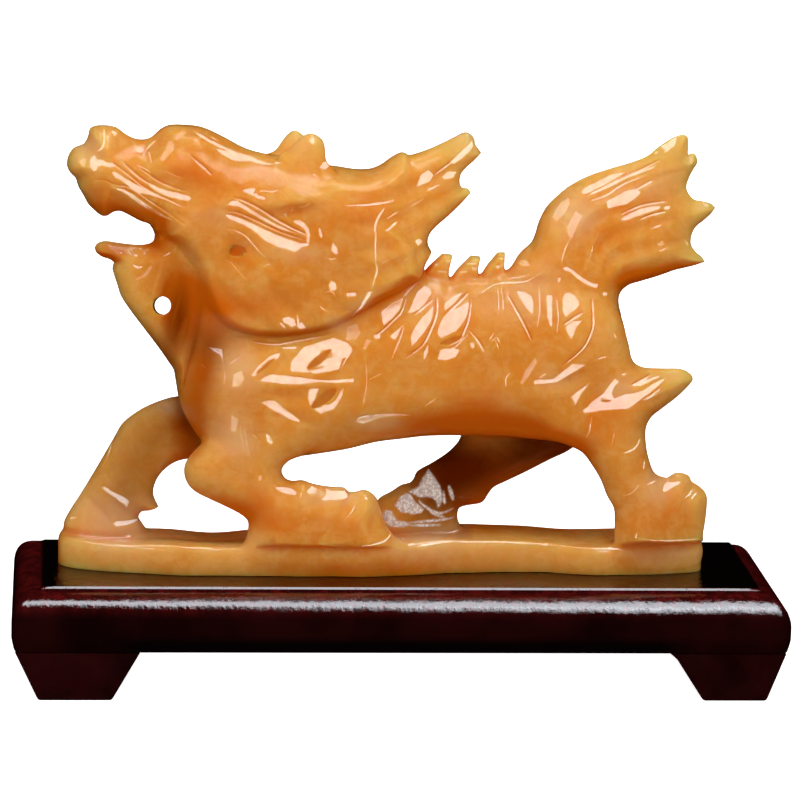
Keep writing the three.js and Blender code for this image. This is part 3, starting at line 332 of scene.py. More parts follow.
class Side:
    def __init__(self):
        self.depth, self.cover, self.lean_x, self.lean_z, self.frost, self.shade = (
            np.zeros((len(MX), len(MZ)), np.float32) for _ in range(6))
        self.polish = np.ones_like(self.depth)

    def window(self, points, reach):
        pts = np.array(points, float)
        lo, hi = pts.min(0) - reach, pts.max(0) + reach
        i0, i1 = np.searchsorted(MX, [lo[0], hi[0]])
        k0, k1 = np.searchsorted(MZ, [lo[1], hi[1]])
        x, z = np.meshgrid(MX[i0:i1], MZ[k0:k1], indexing="ij")
        return (slice(i0, i1), slice(k0, k1)), x, z

    def trace(self, path, reach):
        """The map round a path: distance from it, and how far along it from 0 to 1."""
        at, x, z = self.window(path, reach)
        pts = smooth_path(path)
        nearest = np.full(x.shape, 1e9, np.float32)
        along = np.zeros_like(nearest)
        n = len(pts) - 1
        for i in range(n):
            (ax, az), (bx, bz) = pts[i], pts[i + 1]
            ex, ez = bx - ax, bz - az
            t = np.clip(((x - ax) * ex + (z - az) * ez) / (ex * ex + ez * ez + 1e-9), 0, 1)
            d = np.hypot(x - ax - t * ex, z - az - t * ez)
            closer = d < nearest
            nearest = np.where(closer, d, nearest)
            along = np.where(closer, (i + t) / n, along)
        return at, nearest, along

    def press(self, at, inside, depth, lean, polish=1.0, shade=0.0, edge=0.4):
        """Cuts where inside > 0 (mm from the rim of the cut)."""
        mask = smoothstep(inside / edge + 0.5)
        for field, value in ((self.lean_x, lean[0]), (self.lean_z, lean[1])):
            field[at] += (value - field[at]) * mask
        self.cover[at] += (1 - self.cover[at]) * mask
        self.shade[at] += (shade - self.shade[at]) * mask
        self.polish[at] += (polish - self.polish[at]) * mask
        np.maximum(self.depth[at], depth * smoothstep(inside / FULL_DEPTH_AT + 0.3),
                   out=self.depth[at])

    def facet(self, outline, lean=UP_LEAN, depth=0.3, polish=1.0, wander=0.10):
        """A flat cut with a crisp rim; its lean wanders a little, as hand work does."""
        at, x, z = self.window(outline, 2)
        inside = -loop_distance(np.array(outline, float), x, z)
        cx, cz = np.mean(np.array(outline, float), 0)
        wave = wander * np.sin(0.9 * x + 0.5 * z + cx) * np.cos(0.6 * z - 0.3 * x + cz)
        self.press(at, inside, depth, (lean[0] + wave, lean[1] + wave), polish)

    def stroke(self, path, width=0.9, lean=UP_LEAN, depth=0.25, shade=0.0, blunt=0.35):
        """A thin cut along a bent path, narrowing to both ends."""
        at, nearest, along = self.trace(path, width + 1)
        leaf = blunt + (1 - blunt) * np.sqrt(np.clip(np.sin(np.pi * along), 0, 1))
        self.press(at, 0.5 * width * leaf - nearest, depth, lean, shade=shade)

    def wall(self, path, width, deep):
        """The wall of a cut, cut shallow and given painted shade: a deeper colour along it."""
        at, nearest, along = self.trace(path, width + 1)
        ends = np.clip(np.sin(np.pi * along), 0, 1) ** 0.4
        mask = smoothstep(1 - nearest / (0.5 * width * ends + 0.15))
        np.maximum(self.shade[at], deep * mask * (1 - self.cover[at]), out=self.shade[at])
        np.maximum(self.depth[at], WALL_DEPTH * mask, out=self.depth[at])

    def gouge(self, path, width=1.1, deep=0.8):
        """A bright cut with its wall just above it, given painted shade."""
        pts = np.array(path, float)
        run = pts[-1] - pts[0]
        side = np.array([-run[1], run[0]]) / (np.hypot(*run) + 1e-9)
        if side[1] < 0:
            side = -side
        self.wall([tuple(p + side * 0.75 * width) for p in pts], 1.5 * width, deep)
        self.stroke(path, width)

    def leaf(self, start, end, width):
        """A pointed oval hollow that faces the ground, with a little painted shade in it."""
        self.stroke([start, end], width, DOWN_LEAN, 0.6, shade=0.15, blunt=0.0)

    def hollow(self, path, width, depth):
        """A broad soft groove, which only bends the surface."""
        at, nearest, along = self.trace(path, width)
        ends = np.clip(np.sin(np.pi * along), 0.05, 1) ** 0.6
        across = np.clip(1 - nearest / (0.5 * width * ends), 0, 1)
        self.depth[at] = np.maximum(self.depth[at], depth * ends * smoothstep(across))

    def swell(self, centre, size, turn, height):
        """A soft oval rise, or a hollow where the height is below 0."""
        at, x, z = self.window([centre], max(size) + SWELL_MARGIN)
        c, s = math.cos(math.radians(turn)), math.sin(math.radians(turn))
        u = ((x - centre[0]) * c + (z - centre[1]) * s) / size[0]
        v = (-(x - centre[0]) * s + (z - centre[1]) * c) / size[1]
        self.depth[at] -= height * np.clip(1 - u * u - v * v, 0, None) ** 2


def smooth_path(path, pieces=5):
    """Points on a smooth curve through the path's points."""
    p = [np.array(q, float) for q in path]
    if len(p) == 2:
        return [p[0] + (p[1] - p[0]) * t for t in np.linspace(0, 1, 4)]
    p = [2 * p[0] - p[1]] + p + [2 * p[-1] - p[-2]]
    curve = []
    for a, b, c, d in zip(p, p[1:], p[2:], p[3:]):
        for t in np.arange(pieces) / pieces:
            curve.append(0.5 * (2 * b + (c - a) * t + (2 * a - 5 * b + 4 * c - d) * t**2
                                + (3 * b - a - 3 * c + d) * t**3))
    return curve + [p[-2]]


def fan(first, last, count):
    """Paths spread evenly between two paths of as many points."""
    a, b = np.array(first, float), np.array(last, float)
    return [[tuple(q) for q in a + (b - a) * t] for t in np.linspace(0, 1, count)]


# The side that shows in the photo, place by place. Bright facets are outlines (x, z).
NEAR_FACETS = [
    # snout and lip
    [(-121.3, 161.5), (-119.8, 163), (-118.8, 161.5), (-116.4, 161.3), (-115.4, 160.6),
     (-113, 160.8), (-112, 159), (-114, 158.6), (-117, 159.2), (-118.6, 158.6), (-119, 157.4),
     (-120.2, 156.8), (-121.6, 158.6)],
    [(-113.7, 171.5), (-111.2, 170.8), (-112.1, 169.4)],
    [(-104.6, 165.3), (-102, 165.6), (-100.9, 164.4), (-102.2, 163.6), (-103.6, 164.1)],
    # long welts of the muzzle
    [(-99, 153.6), (-96, 152.1), (-92, 150.9), (-88, 150.2), (-84.3, 149.4), (-83.2, 148.3),
     (-84.5, 147.2), (-88, 147.4), (-92, 148.2), (-96, 150), (-99.4, 152.2)],
    [(-113.6, 157.3), (-111.4, 157), (-108, 154.8), (-104, 152.8), (-100, 150.8), (-97, 149.6),
     (-93, 148), (-90, 146.6), (-85, 144.4), (-88, 145), (-92, 146.6), (-96, 147.9),
     (-100, 148.8), (-103, 149.2), (-106, 151.1), (-110, 153.9), (-112.6, 155.4)],
    [(-115.5, 152.2), (-112, 151.2), (-108.4, 150.5), (-105, 148.8), (-101, 145.7), (-97, 143.1),
     (-93, 140.9), (-90, 139.5), (-93, 139.8), (-97, 141.3), (-101, 143.6), (-105, 146.3),
     (-109, 149.2), (-113, 150.9)],
    # crown
    [(-74.2, 166.2), (-70, 165.2), (-67, 164.5), (-63, 163.5), (-59, 162.2), (-55, 161.5),
     (-50, 161), (-48, 161.7), (-49.8, 160.4), (-53, 159.9), (-57, 160.2), (-61, 161.3),
     (-65, 161.5), (-68, 162.2), (-72, 164.4)],
    [(-77.2, 172.4), (-75, 171.8), (-75.2, 170.7)],
    # ear
    [(-64.6, 151.8), (-62, 152.4), (-59, 152.7), (-60, 150.9), (-56, 149.6), (-55.3, 148.4),
     (-58, 148.6), (-61, 150.3), (-63.6, 151.2)],
    [(-45.6, 140.6), (-42.5, 141.1), (-40.4, 139.9), (-38.9, 137.9), (-38.3, 135.5),
     (-38.5, 131.8), (-39.7, 132.2), (-39.7, 135.4), (-40.7, 137.4), (-42.5, 138.8),
     (-44.6, 139.7)],
    # the three long cuts of the cheek
    [(-70, 146.5), (-68.4, 148), (-66, 148), (-62, 145.6), (-58, 143.1), (-54, 140.6),
     (-50, 138.6), (-46, 136.8), (-40.5, 134.9), (-45, 135.9), (-50, 137.2), (-54, 139.2),
     (-58, 141.4), (-62, 143.8), (-66, 145.8), (-69, 146)],
    [(-70.6, 142.6), (-68, 142.4), (-64, 141), (-60, 139.2), (-55, 136.8), (-50, 134.7),
     (-45, 132.9), (-41.5, 132), (-38.9, 132), (-38.6, 131), (-41, 130.4), (-43.8, 128.5),
     (-47, 129.5), (-51, 130.5), (-54, 132), (-56.5, 133.5), (-58.5, 135.5), (-61, 137.3),
     (-65, 139.3), (-69, 141)],
    # under the ear and on the jowl
    [(-35.4, 138.3), (-34.3, 137.6), (-33.6, 135), (-33.9, 133.9), (-34.8, 134.6)],
    [(-29.6, 132.6), (-27.7, 130), (-27.4, 127.9), (-29, 127.9), (-30.4, 129.6)],
    [(-30, 118), (-28.4, 117), (-27.7, 114.8), (-28.6, 113.3), (-30.4, 113.6), (-30.9, 115.8)],
    [(-24.2, 112.9), (-20.3, 113.1), (-20, 111.5), (-23.6, 111.2)],
    # foot of the horn, saddle
    [(-35, 159.3), (-33.4, 161.4), (-31, 161.5), (-30.3, 160), (-32.6, 158.8)],
    [(-25.6, 157.2), (-19, 156.6), (-23.4, 154.9)],
    [(-39.2, 170), (-37.4, 171.2), (-36.6, 169.4), (-37.8, 168.2)],
    # mane
    [(2.8, 152.1), (4, 156.5), (7.3, 158.4), (9.4, 156.3), (8, 153.7)],
    [(12.4, 155.2), (15, 157.4), (18.3, 157.4), (17.6, 155.2), (14, 154.4)],
    [(15.6, 161), (20.8, 166), (24.3, 169.2), (24.8, 167), (21, 163), (17.4, 160.2)],
    [(2.2, 132), (4, 132.7), (5.6, 131.4), (3.6, 130.2)],
    [(-14, 113.6), (-17, 107.8), (-18.6, 106), (-18.2, 108.6), (-16, 113.4)],
    # shoulder
    [(-44.6, 82.2), (-44.6, 85.6), (-40, 91.2), (-28.5, 95), (-23, 93.2), (-21, 91),
     (-22.3, 87.6), (-24.8, 87), (-26, 82.6), (-34.5, 81)],
    [(-59.8, 80.6), (-57, 84.4), (-52.6, 87.8), (-48.2, 89.2), (-49.6, 86.8), (-54.6, 83),
     (-58.2, 80.2)],
    [(-48, 91.2), (-42.4, 91.6), (-42.6, 90.2), (-47.6, 90.2)],
    [(-55, 79.9), (-51.6, 81.1), (-46, 80.6), (-40.6, 79.8), (-34, 78.8), (-29.7, 78.5),
     (-20.2, 79.4), (-20.2, 77.8), (-27.3, 77.4), (-34.5, 77.6), (-43, 76.9), (-50, 77.6),
     (-56.5, 78.4)],
    [(-37.5, 75.2), (-33.4, 75.4), (-34.8, 71.6), (-33.4, 69.6), (-29.8, 69), (-27, 71),
     (-25.4, 74.4), (-24, 76), (-24.4, 72.4), (-27.4, 67.4), (-32.7, 65.3), (-36.4, 67.8),
     (-37.8, 71.4)],
    [(-55.8, 70), (-53, 70.9), (-50.4, 70.7), (-46.7, 67.6), (-43, 64.8), (-40.8, 62.9),
     (-40.7, 61.8), (-44.6, 62.9), (-48, 64.9), (-52, 67.2)],
    [(-19, 61.6), (-18.4, 63.6), (-15.2, 64.6), (-11, 65), (-6, 65.4), (-1, 65.2), (3.5, 64.6),
     (-2, 64.2), (-8, 64), (-12.4, 62.4), (-16, 61)],
    [(-77, 90.6), (-70.6, 89.8), (-70, 83), (-71.4, 87.4)],
    [(-49.3, 100.6), (-46.7, 98.3), (-47.1, 99.9), (-48.7, 101.2)],
    [(-48.2, 102.8), (-45.7, 103.4), (-43.5, 102.5), (-42.7, 99.9), (-44.5, 99.2), (-46.4, 100.5),
     (-47.8, 101)],
    [(-42.8, 104.5), (-42, 103.6), (-41.5, 101), (-40.6, 101.6), (-39, 98.8), (-41.2, 98.3),
     (-42.7, 99.5)],
    # flank
    [(-10.3, 104.8), (-5.6, 108.3), (-1.5, 110.3), (-3.2, 105.5), (-5.8, 102.2), (-9.4, 99.6)],
    [(-13, 96.2), (-10.4, 96.4), (-10.6, 94.6), (-12.8, 94.6)],
    [(-0.2, 104.3), (2, 108.2), (3.7, 111.6), (6.7, 113.6), (8.9, 112.7), (9.6, 111.4),
     (6.4, 107.3), (4.3, 105.5), (1.2, 104.2)],
    [(10, 106.9), (9.3, 102.3), (6.8, 97.8), (4.3, 94.7), (1.5, 91.5), (1.2, 96), (2.4, 98.7),
     (5.8, 103.2)],
    [(7.9, 93.3), (8.2, 89.4), (6.1, 86.2), (6.2, 90)],
    [(13.9, 105), (14.5, 108), (18, 110.2), (22, 111.6), (18, 107.7)],
    [(23.8, 108.7), (23, 104.2), (21, 100.6), (18.5, 97.9), (16.7, 97.2), (12.9, 95.1),
     (11.3, 96.9), (11.8, 99.2), (13.5, 102.8), (15.2, 104.6), (19.6, 106.4)],
    [(11.7, 87), (12.4, 90.8), (17, 91.2), (20.2, 91), (18.6, 88), (15, 86.6)],
    [(-1.2, 100.5), (-4.7, 94.2), (-7, 95.6)],
    [(23.8, 93.6), (25.6, 93.8), (26, 91.8), (24.4, 91.4)],
    # haunch
    [(42.1, 112.5), (45.4, 112.4), (47.6, 111.2), (48.3, 108.8), (48, 104.4), (45.4, 106.8),
     (43.3, 110.2)],
    [(53.2, 111.7), (55.4, 111.8), (55.4, 105), (55.2, 99), (53.4, 103.5)],
    [(60.1, 112.5), (62.3, 112.8), (64.3, 111.5), (65.7, 109.6), (65.5, 108.1), (63.2, 106),
     (60.4, 104), (59.3, 105.9), (59.3, 110)],
    [(66.8, 102.9), (64.5, 100.1), (62.8, 95.6), (61, 98), (60.3, 100.5), (63, 102.6)],
    [(75, 112.2), (76.6, 112.7), (77.5, 111.4), (75.8, 110.8)],
    [(49, 79.3), (56.5, 79.9), (59.7, 83), (63.3, 86.1), (68.9, 85.9), (64.6, 83),
     (60.6, 80.2), (57.6, 78.3), (49, 77.4)],
    [(71.5, 79.7), (69, 77.5), (66, 75.2), (63.5, 73), (64.8, 70.8), (65.3, 69), (66.2, 71.4),
     (67.6, 74.2), (69.6, 76.9)],
    # the tuft behind the hock
    [(68.2, 67.5), (70, 68.6), (71.5, 70.6), (74, 72.6), (76, 74), (78, 77), (80.3, 80),
     (82.1, 78.8), (80.4, 76.8), (79.4, 74.2), (80.4, 72.2), (85, 74), (88, 74.2), (92, 75.5),
     (96, 77.4), (101.5, 79), (97, 76), (92.6, 73.2), (90, 71), (88, 69.5), (86, 68.1),
     (80, 67.7), (75, 67.2), (72, 66.6), (69, 66.2)],
    [(86.8, 76.8), (91, 78.2), (96, 79.3), (100, 79.9), (96, 78.5), (91, 76.9)],
    [(82.6, 81), (84, 82.1), (85.1, 81.2)],
    # tail
    [(66.4, 150.4), (68, 152), (70, 153), (74, 154.7), (78, 156.7), (82, 157.6), (84.4, 157.8),
     (80, 155.6), (76, 153.5), (72, 151.7), (69.5, 150.4), (67.5, 149.6)],
    [(75.8, 147.4), (80, 149.1), (83, 150.9), (87, 151.6), (89.7, 150.6), (87, 148),
     (84, 146), (80, 145.3), (76.4, 144.6)],
    [(97.4, 167.6), (100, 168.7), (102, 171), (103.6, 171.1), (102.6, 168), (100, 166.2),
     (98.4, 166.4)],
    [(81.3, 140.1), (83, 141.5), (87, 143.1), (90, 144.3), (94, 145), (97.6, 145.3), (97, 144),
     (92, 142.5), (88, 141.3), (84, 140)],
    [(98.5, 144.7), (101.2, 145.3), (101.2, 143.7), (99, 143.7)],
    [(59.2, 122), (61, 122.6), (63.5, 121.2), (66, 119), (69, 117.2), (71.5, 116),
     (73.6, 115.9), (72.7, 114), (70.5, 114.9), (67.5, 116.2), (65, 118), (62.5, 120.2),
     (60, 121)],
    [(57.3, 118.1), (59.1, 118.2), (58, 115.4)],
    # near forefoot
    [(-54.2, 58.4), (-52.5, 57), (-50.9, 55), (-50.7, 53.4), (-51.9, 53.2), (-53.1, 54.6)],
    [(-50.6, 37.6), (-49, 35.8), (-47, 35.5), (-43, 34.6), (-40.9, 33.9), (-41.4, 32.2),
     (-44, 32.7), (-47, 33.7), (-48.9, 34.8)],
    [(-37.2, 34), (-34.6, 35.1), (-32.9, 34.5), (-34, 32.9), (-36.6, 33)],
    [(-29.2, 34.4), (-23.5, 34.6), (-22, 33), (-20.9, 30.9), (-25, 30.6), (-30, 30.4),
     (-31.7, 31), (-29.6, 32.2)],
    # far foreleg
    [(-116.2, 30.4), (-114.5, 30.9), (-112, 29.2), (-108, 27.4), (-105.4, 25.9), (-104.8, 24.5),
     (-106, 22.1), (-107.5, 23.9), (-110, 25.6), (-113, 27.7)],
    [(-111.6, 16), (-109.5, 17.1), (-105, 17.1), (-101.4, 16.8), (-101.4, 15.9), (-106, 15.2),
     (-110, 14.8)],
    # hind foot
    [(101.4, 34.4), (101.8, 36.1), (103, 37.1), (107, 37.4), (109.6, 37.7), (107.5, 36.4),
     (105, 35.2), (103, 34.2)],
]
# Fainter facets, whose face is less even.
NEAR_SOFT_FACETS = [
    # along the teeth
    [(15.2, 122.7), (17.6, 122.6), (17.6, 121.7), (15.6, 121.9)],
    [(10.8, 120.7), (12.4, 121.4), (12.8, 120.6), (11.4, 120)],
    [(12, 118.7), (16, 118.3), (15.9, 117.6), (12.2, 118)],
    [(25.3, 120.2), (27.8, 120.1), (27.6, 118.6), (25.7, 118.9)],
    [(20.8, 118), (23.8, 118.6), (23.8, 118), (21, 117.4)],
    [(34.2, 120.6), (38.3, 121.5), (38.3, 120.7), (34.6, 120)],
    [(42.6, 123.4), (46.8, 123.3), (47.2, 121.8), (45, 121.4), (42.4, 121.8)],
    [(44.7, 127.6), (46.2, 128.3), (46.6, 127), (45.2, 126.6)],
    [(-93, 166), (-92.3, 168.6), (-91, 169.2), (-89.9, 168), (-90.1, 166), (-92, 164),
     (-94, 161.9), (-95.6, 162.5), (-94.2, 164.8)],
    [(-90, 170), (-88, 171.6), (-86, 172.5), (-84.8, 171.9), (-87, 170.4), (-88.6, 169.2)],
    [(-125.8, 160.2), (-124, 161.4), (-122.6, 161.2), (-123.4, 158.2), (-124.4, 158.4)],
    [(-66.9, 64.6), (-64.2, 63.2), (-65, 58), (-66.9, 58)],
    [(-66.8, 75.8), (-66.6, 80.6), (-63.2, 82.4), (-62.3, 79.4), (-63.6, 76.2)],
    [(-23.6, 94), (-23, 99), (-19.4, 100.4), (-18, 97), (-20, 94)],
    [(55.4, 140.4), (57, 143.6), (59, 146.2), (61.6, 148), (62, 146), (60, 142.4), (57, 139.4)],
    [(60.4, 137), (62, 140.6), (64, 143.6), (66.6, 142), (65, 139), (63.5, 135.4), (62.5, 133),
     (61.4, 134)],
    [(96.4, 130.5), (98.6, 131.9), (99.6, 130), (97, 129.7)],
    [(-94, 62), (-91, 63.1), (-88, 61.6), (-86.9, 60), (-91, 60.5)],
    [(-56.2, 40.4), (-54.8, 41.2), (-54.7, 39), (-56.3, 38.3)],
    [(43.6, 77.8), (45.4, 83), (49.2, 88.2), (50, 86.2), (47.4, 81.4), (45, 77.6)],
    [(-98.2, 120.2), (-97.4, 119.6), (-99, 116.6), (-101.4, 114.9), (-103.6, 113.9),
     (-103.8, 115), (-101, 116.6), (-99.4, 118.6)],
    [(-94.6, 131.5), (-93.2, 131.1), (-93.6, 129.7), (-94.9, 129.9)],
    [(108.4, 163.8), (109.6, 163.6), (109.8, 161), (108.9, 160.6)],
    [(114.4, 146.2), (116.6, 145.9), (116.9, 145), (115.4, 143.8)],
    [(-45.9, 145.4), (-45, 145.2), (-45.1, 143.5), (-45.8, 143.6)],
    [(-13.8, 94.2), (-16, 90.6), (-17.2, 90.6), (-15.8, 94.6)],
]
# Thin bright cuts: width in mm and path. The gouges have a shaded wall above them.
NEAR_GOUGES = [
    (0.9, [(-113.6, 160.6), (-110, 157.9), (-106, 155.1), (-103, 152.7), (-98, 149.9)]),
    (1.0, [(-109.4, 160.4), (-105, 156.7), (-101.5, 154.2), (-98, 152.4)]),
    (0.9, [(-103, 158.7), (-99, 156.1), (-95, 153.7), (-90, 151.8), (-85.6, 150.8)]),
    (0.9, [(-119.4, 153.4), (-116, 153.5), (-112, 151.9), (-107.6, 151.4), (-104, 149.7),
           (-100, 146.9), (-96, 144.3), (-92, 141.8), (-86, 138.5)]),
    (1.2, [(-67.6, 148.7), (-64, 147.8), (-58, 144.9), (-52, 141.1), (-46, 137.8), (-40, 135.2)]),
    (0.9, [(-70, 143.6), (-66, 143.1), (-60, 140.7), (-54, 137.8), (-48, 135.3), (-40, 132.9)]),
    (1.0, [(-82.6, 172), (-79, 170.3), (-75, 168), (-71.8, 166.2)]),
    (0.9, [(-84.2, 164.2), (-79.5, 160.3), (-75.8, 157)]),
    (0.9, [(-59.6, 92.7), (-50.4, 91.9), (-41, 93.6), (-30, 95.6)]),
    (0.8, [(-42, 82.6), (-36, 86), (-30, 91.6)]),
    (1.0, [(-0.5, 109.6), (-2.3, 104.6), (-5.3, 101.5), (-9.1, 97.9), (-12.1, 95.6)]),
    (1.1, [(11.6, 109.6), (11.3, 104.1), (8.9, 97.8), (5.7, 92), (-0.4, 87.5)]),
    (1.0, [(10, 109), (6, 106), (2.6, 103.5)]),
    (1.1, [(23.9, 111.4), (19.6, 107.6), (15.5, 104.6)]),
    (1.1, [(24.7, 109.5), (23.5, 102.3), (21.9, 97.8), (19.8, 94.2), (14.6, 91.9)]),
    (1.0, [(23.6, 97.9), (26.6, 94.6), (29.2, 90.2)]),
    (1.1, [(38.5, 110.7), (43.7, 102), (47.4, 94.7)]),
    (1.0, [(67.2, 105.6), (63.4, 103.4), (59.6, 101)]),
    (1.0, [(71, 110), (71.2, 104.6), (70.9, 99.2), (68.2, 93.1), (64.5, 89.1), (60, 85.5)]),
    (1.0, [(87, 77), (91, 78.4), (95, 80)]),
    (0.9, [(91, 71.4), (94, 72.6), (98.5, 75.3)]),
    (0.9, [(68, 149), (76, 152.1), (84, 156.1), (90, 158.7), (97, 162.4)]),
    (0.9, [(76, 145.6), (83, 148.7), (90, 152.6), (94.4, 154.8)]),
    (0.9, [(82, 142.1), (90, 145.2), (100, 146.7)]),
    (0.9, [(89, 139.8), (94, 141.6), (100, 142.9)]),
    (0.9, [(9.4, 155.8), (14, 159.2), (18, 162.1)]),
    (1.0, [(-42.6, 62.4), (-47, 65.4), (-51, 68.6)]),
]
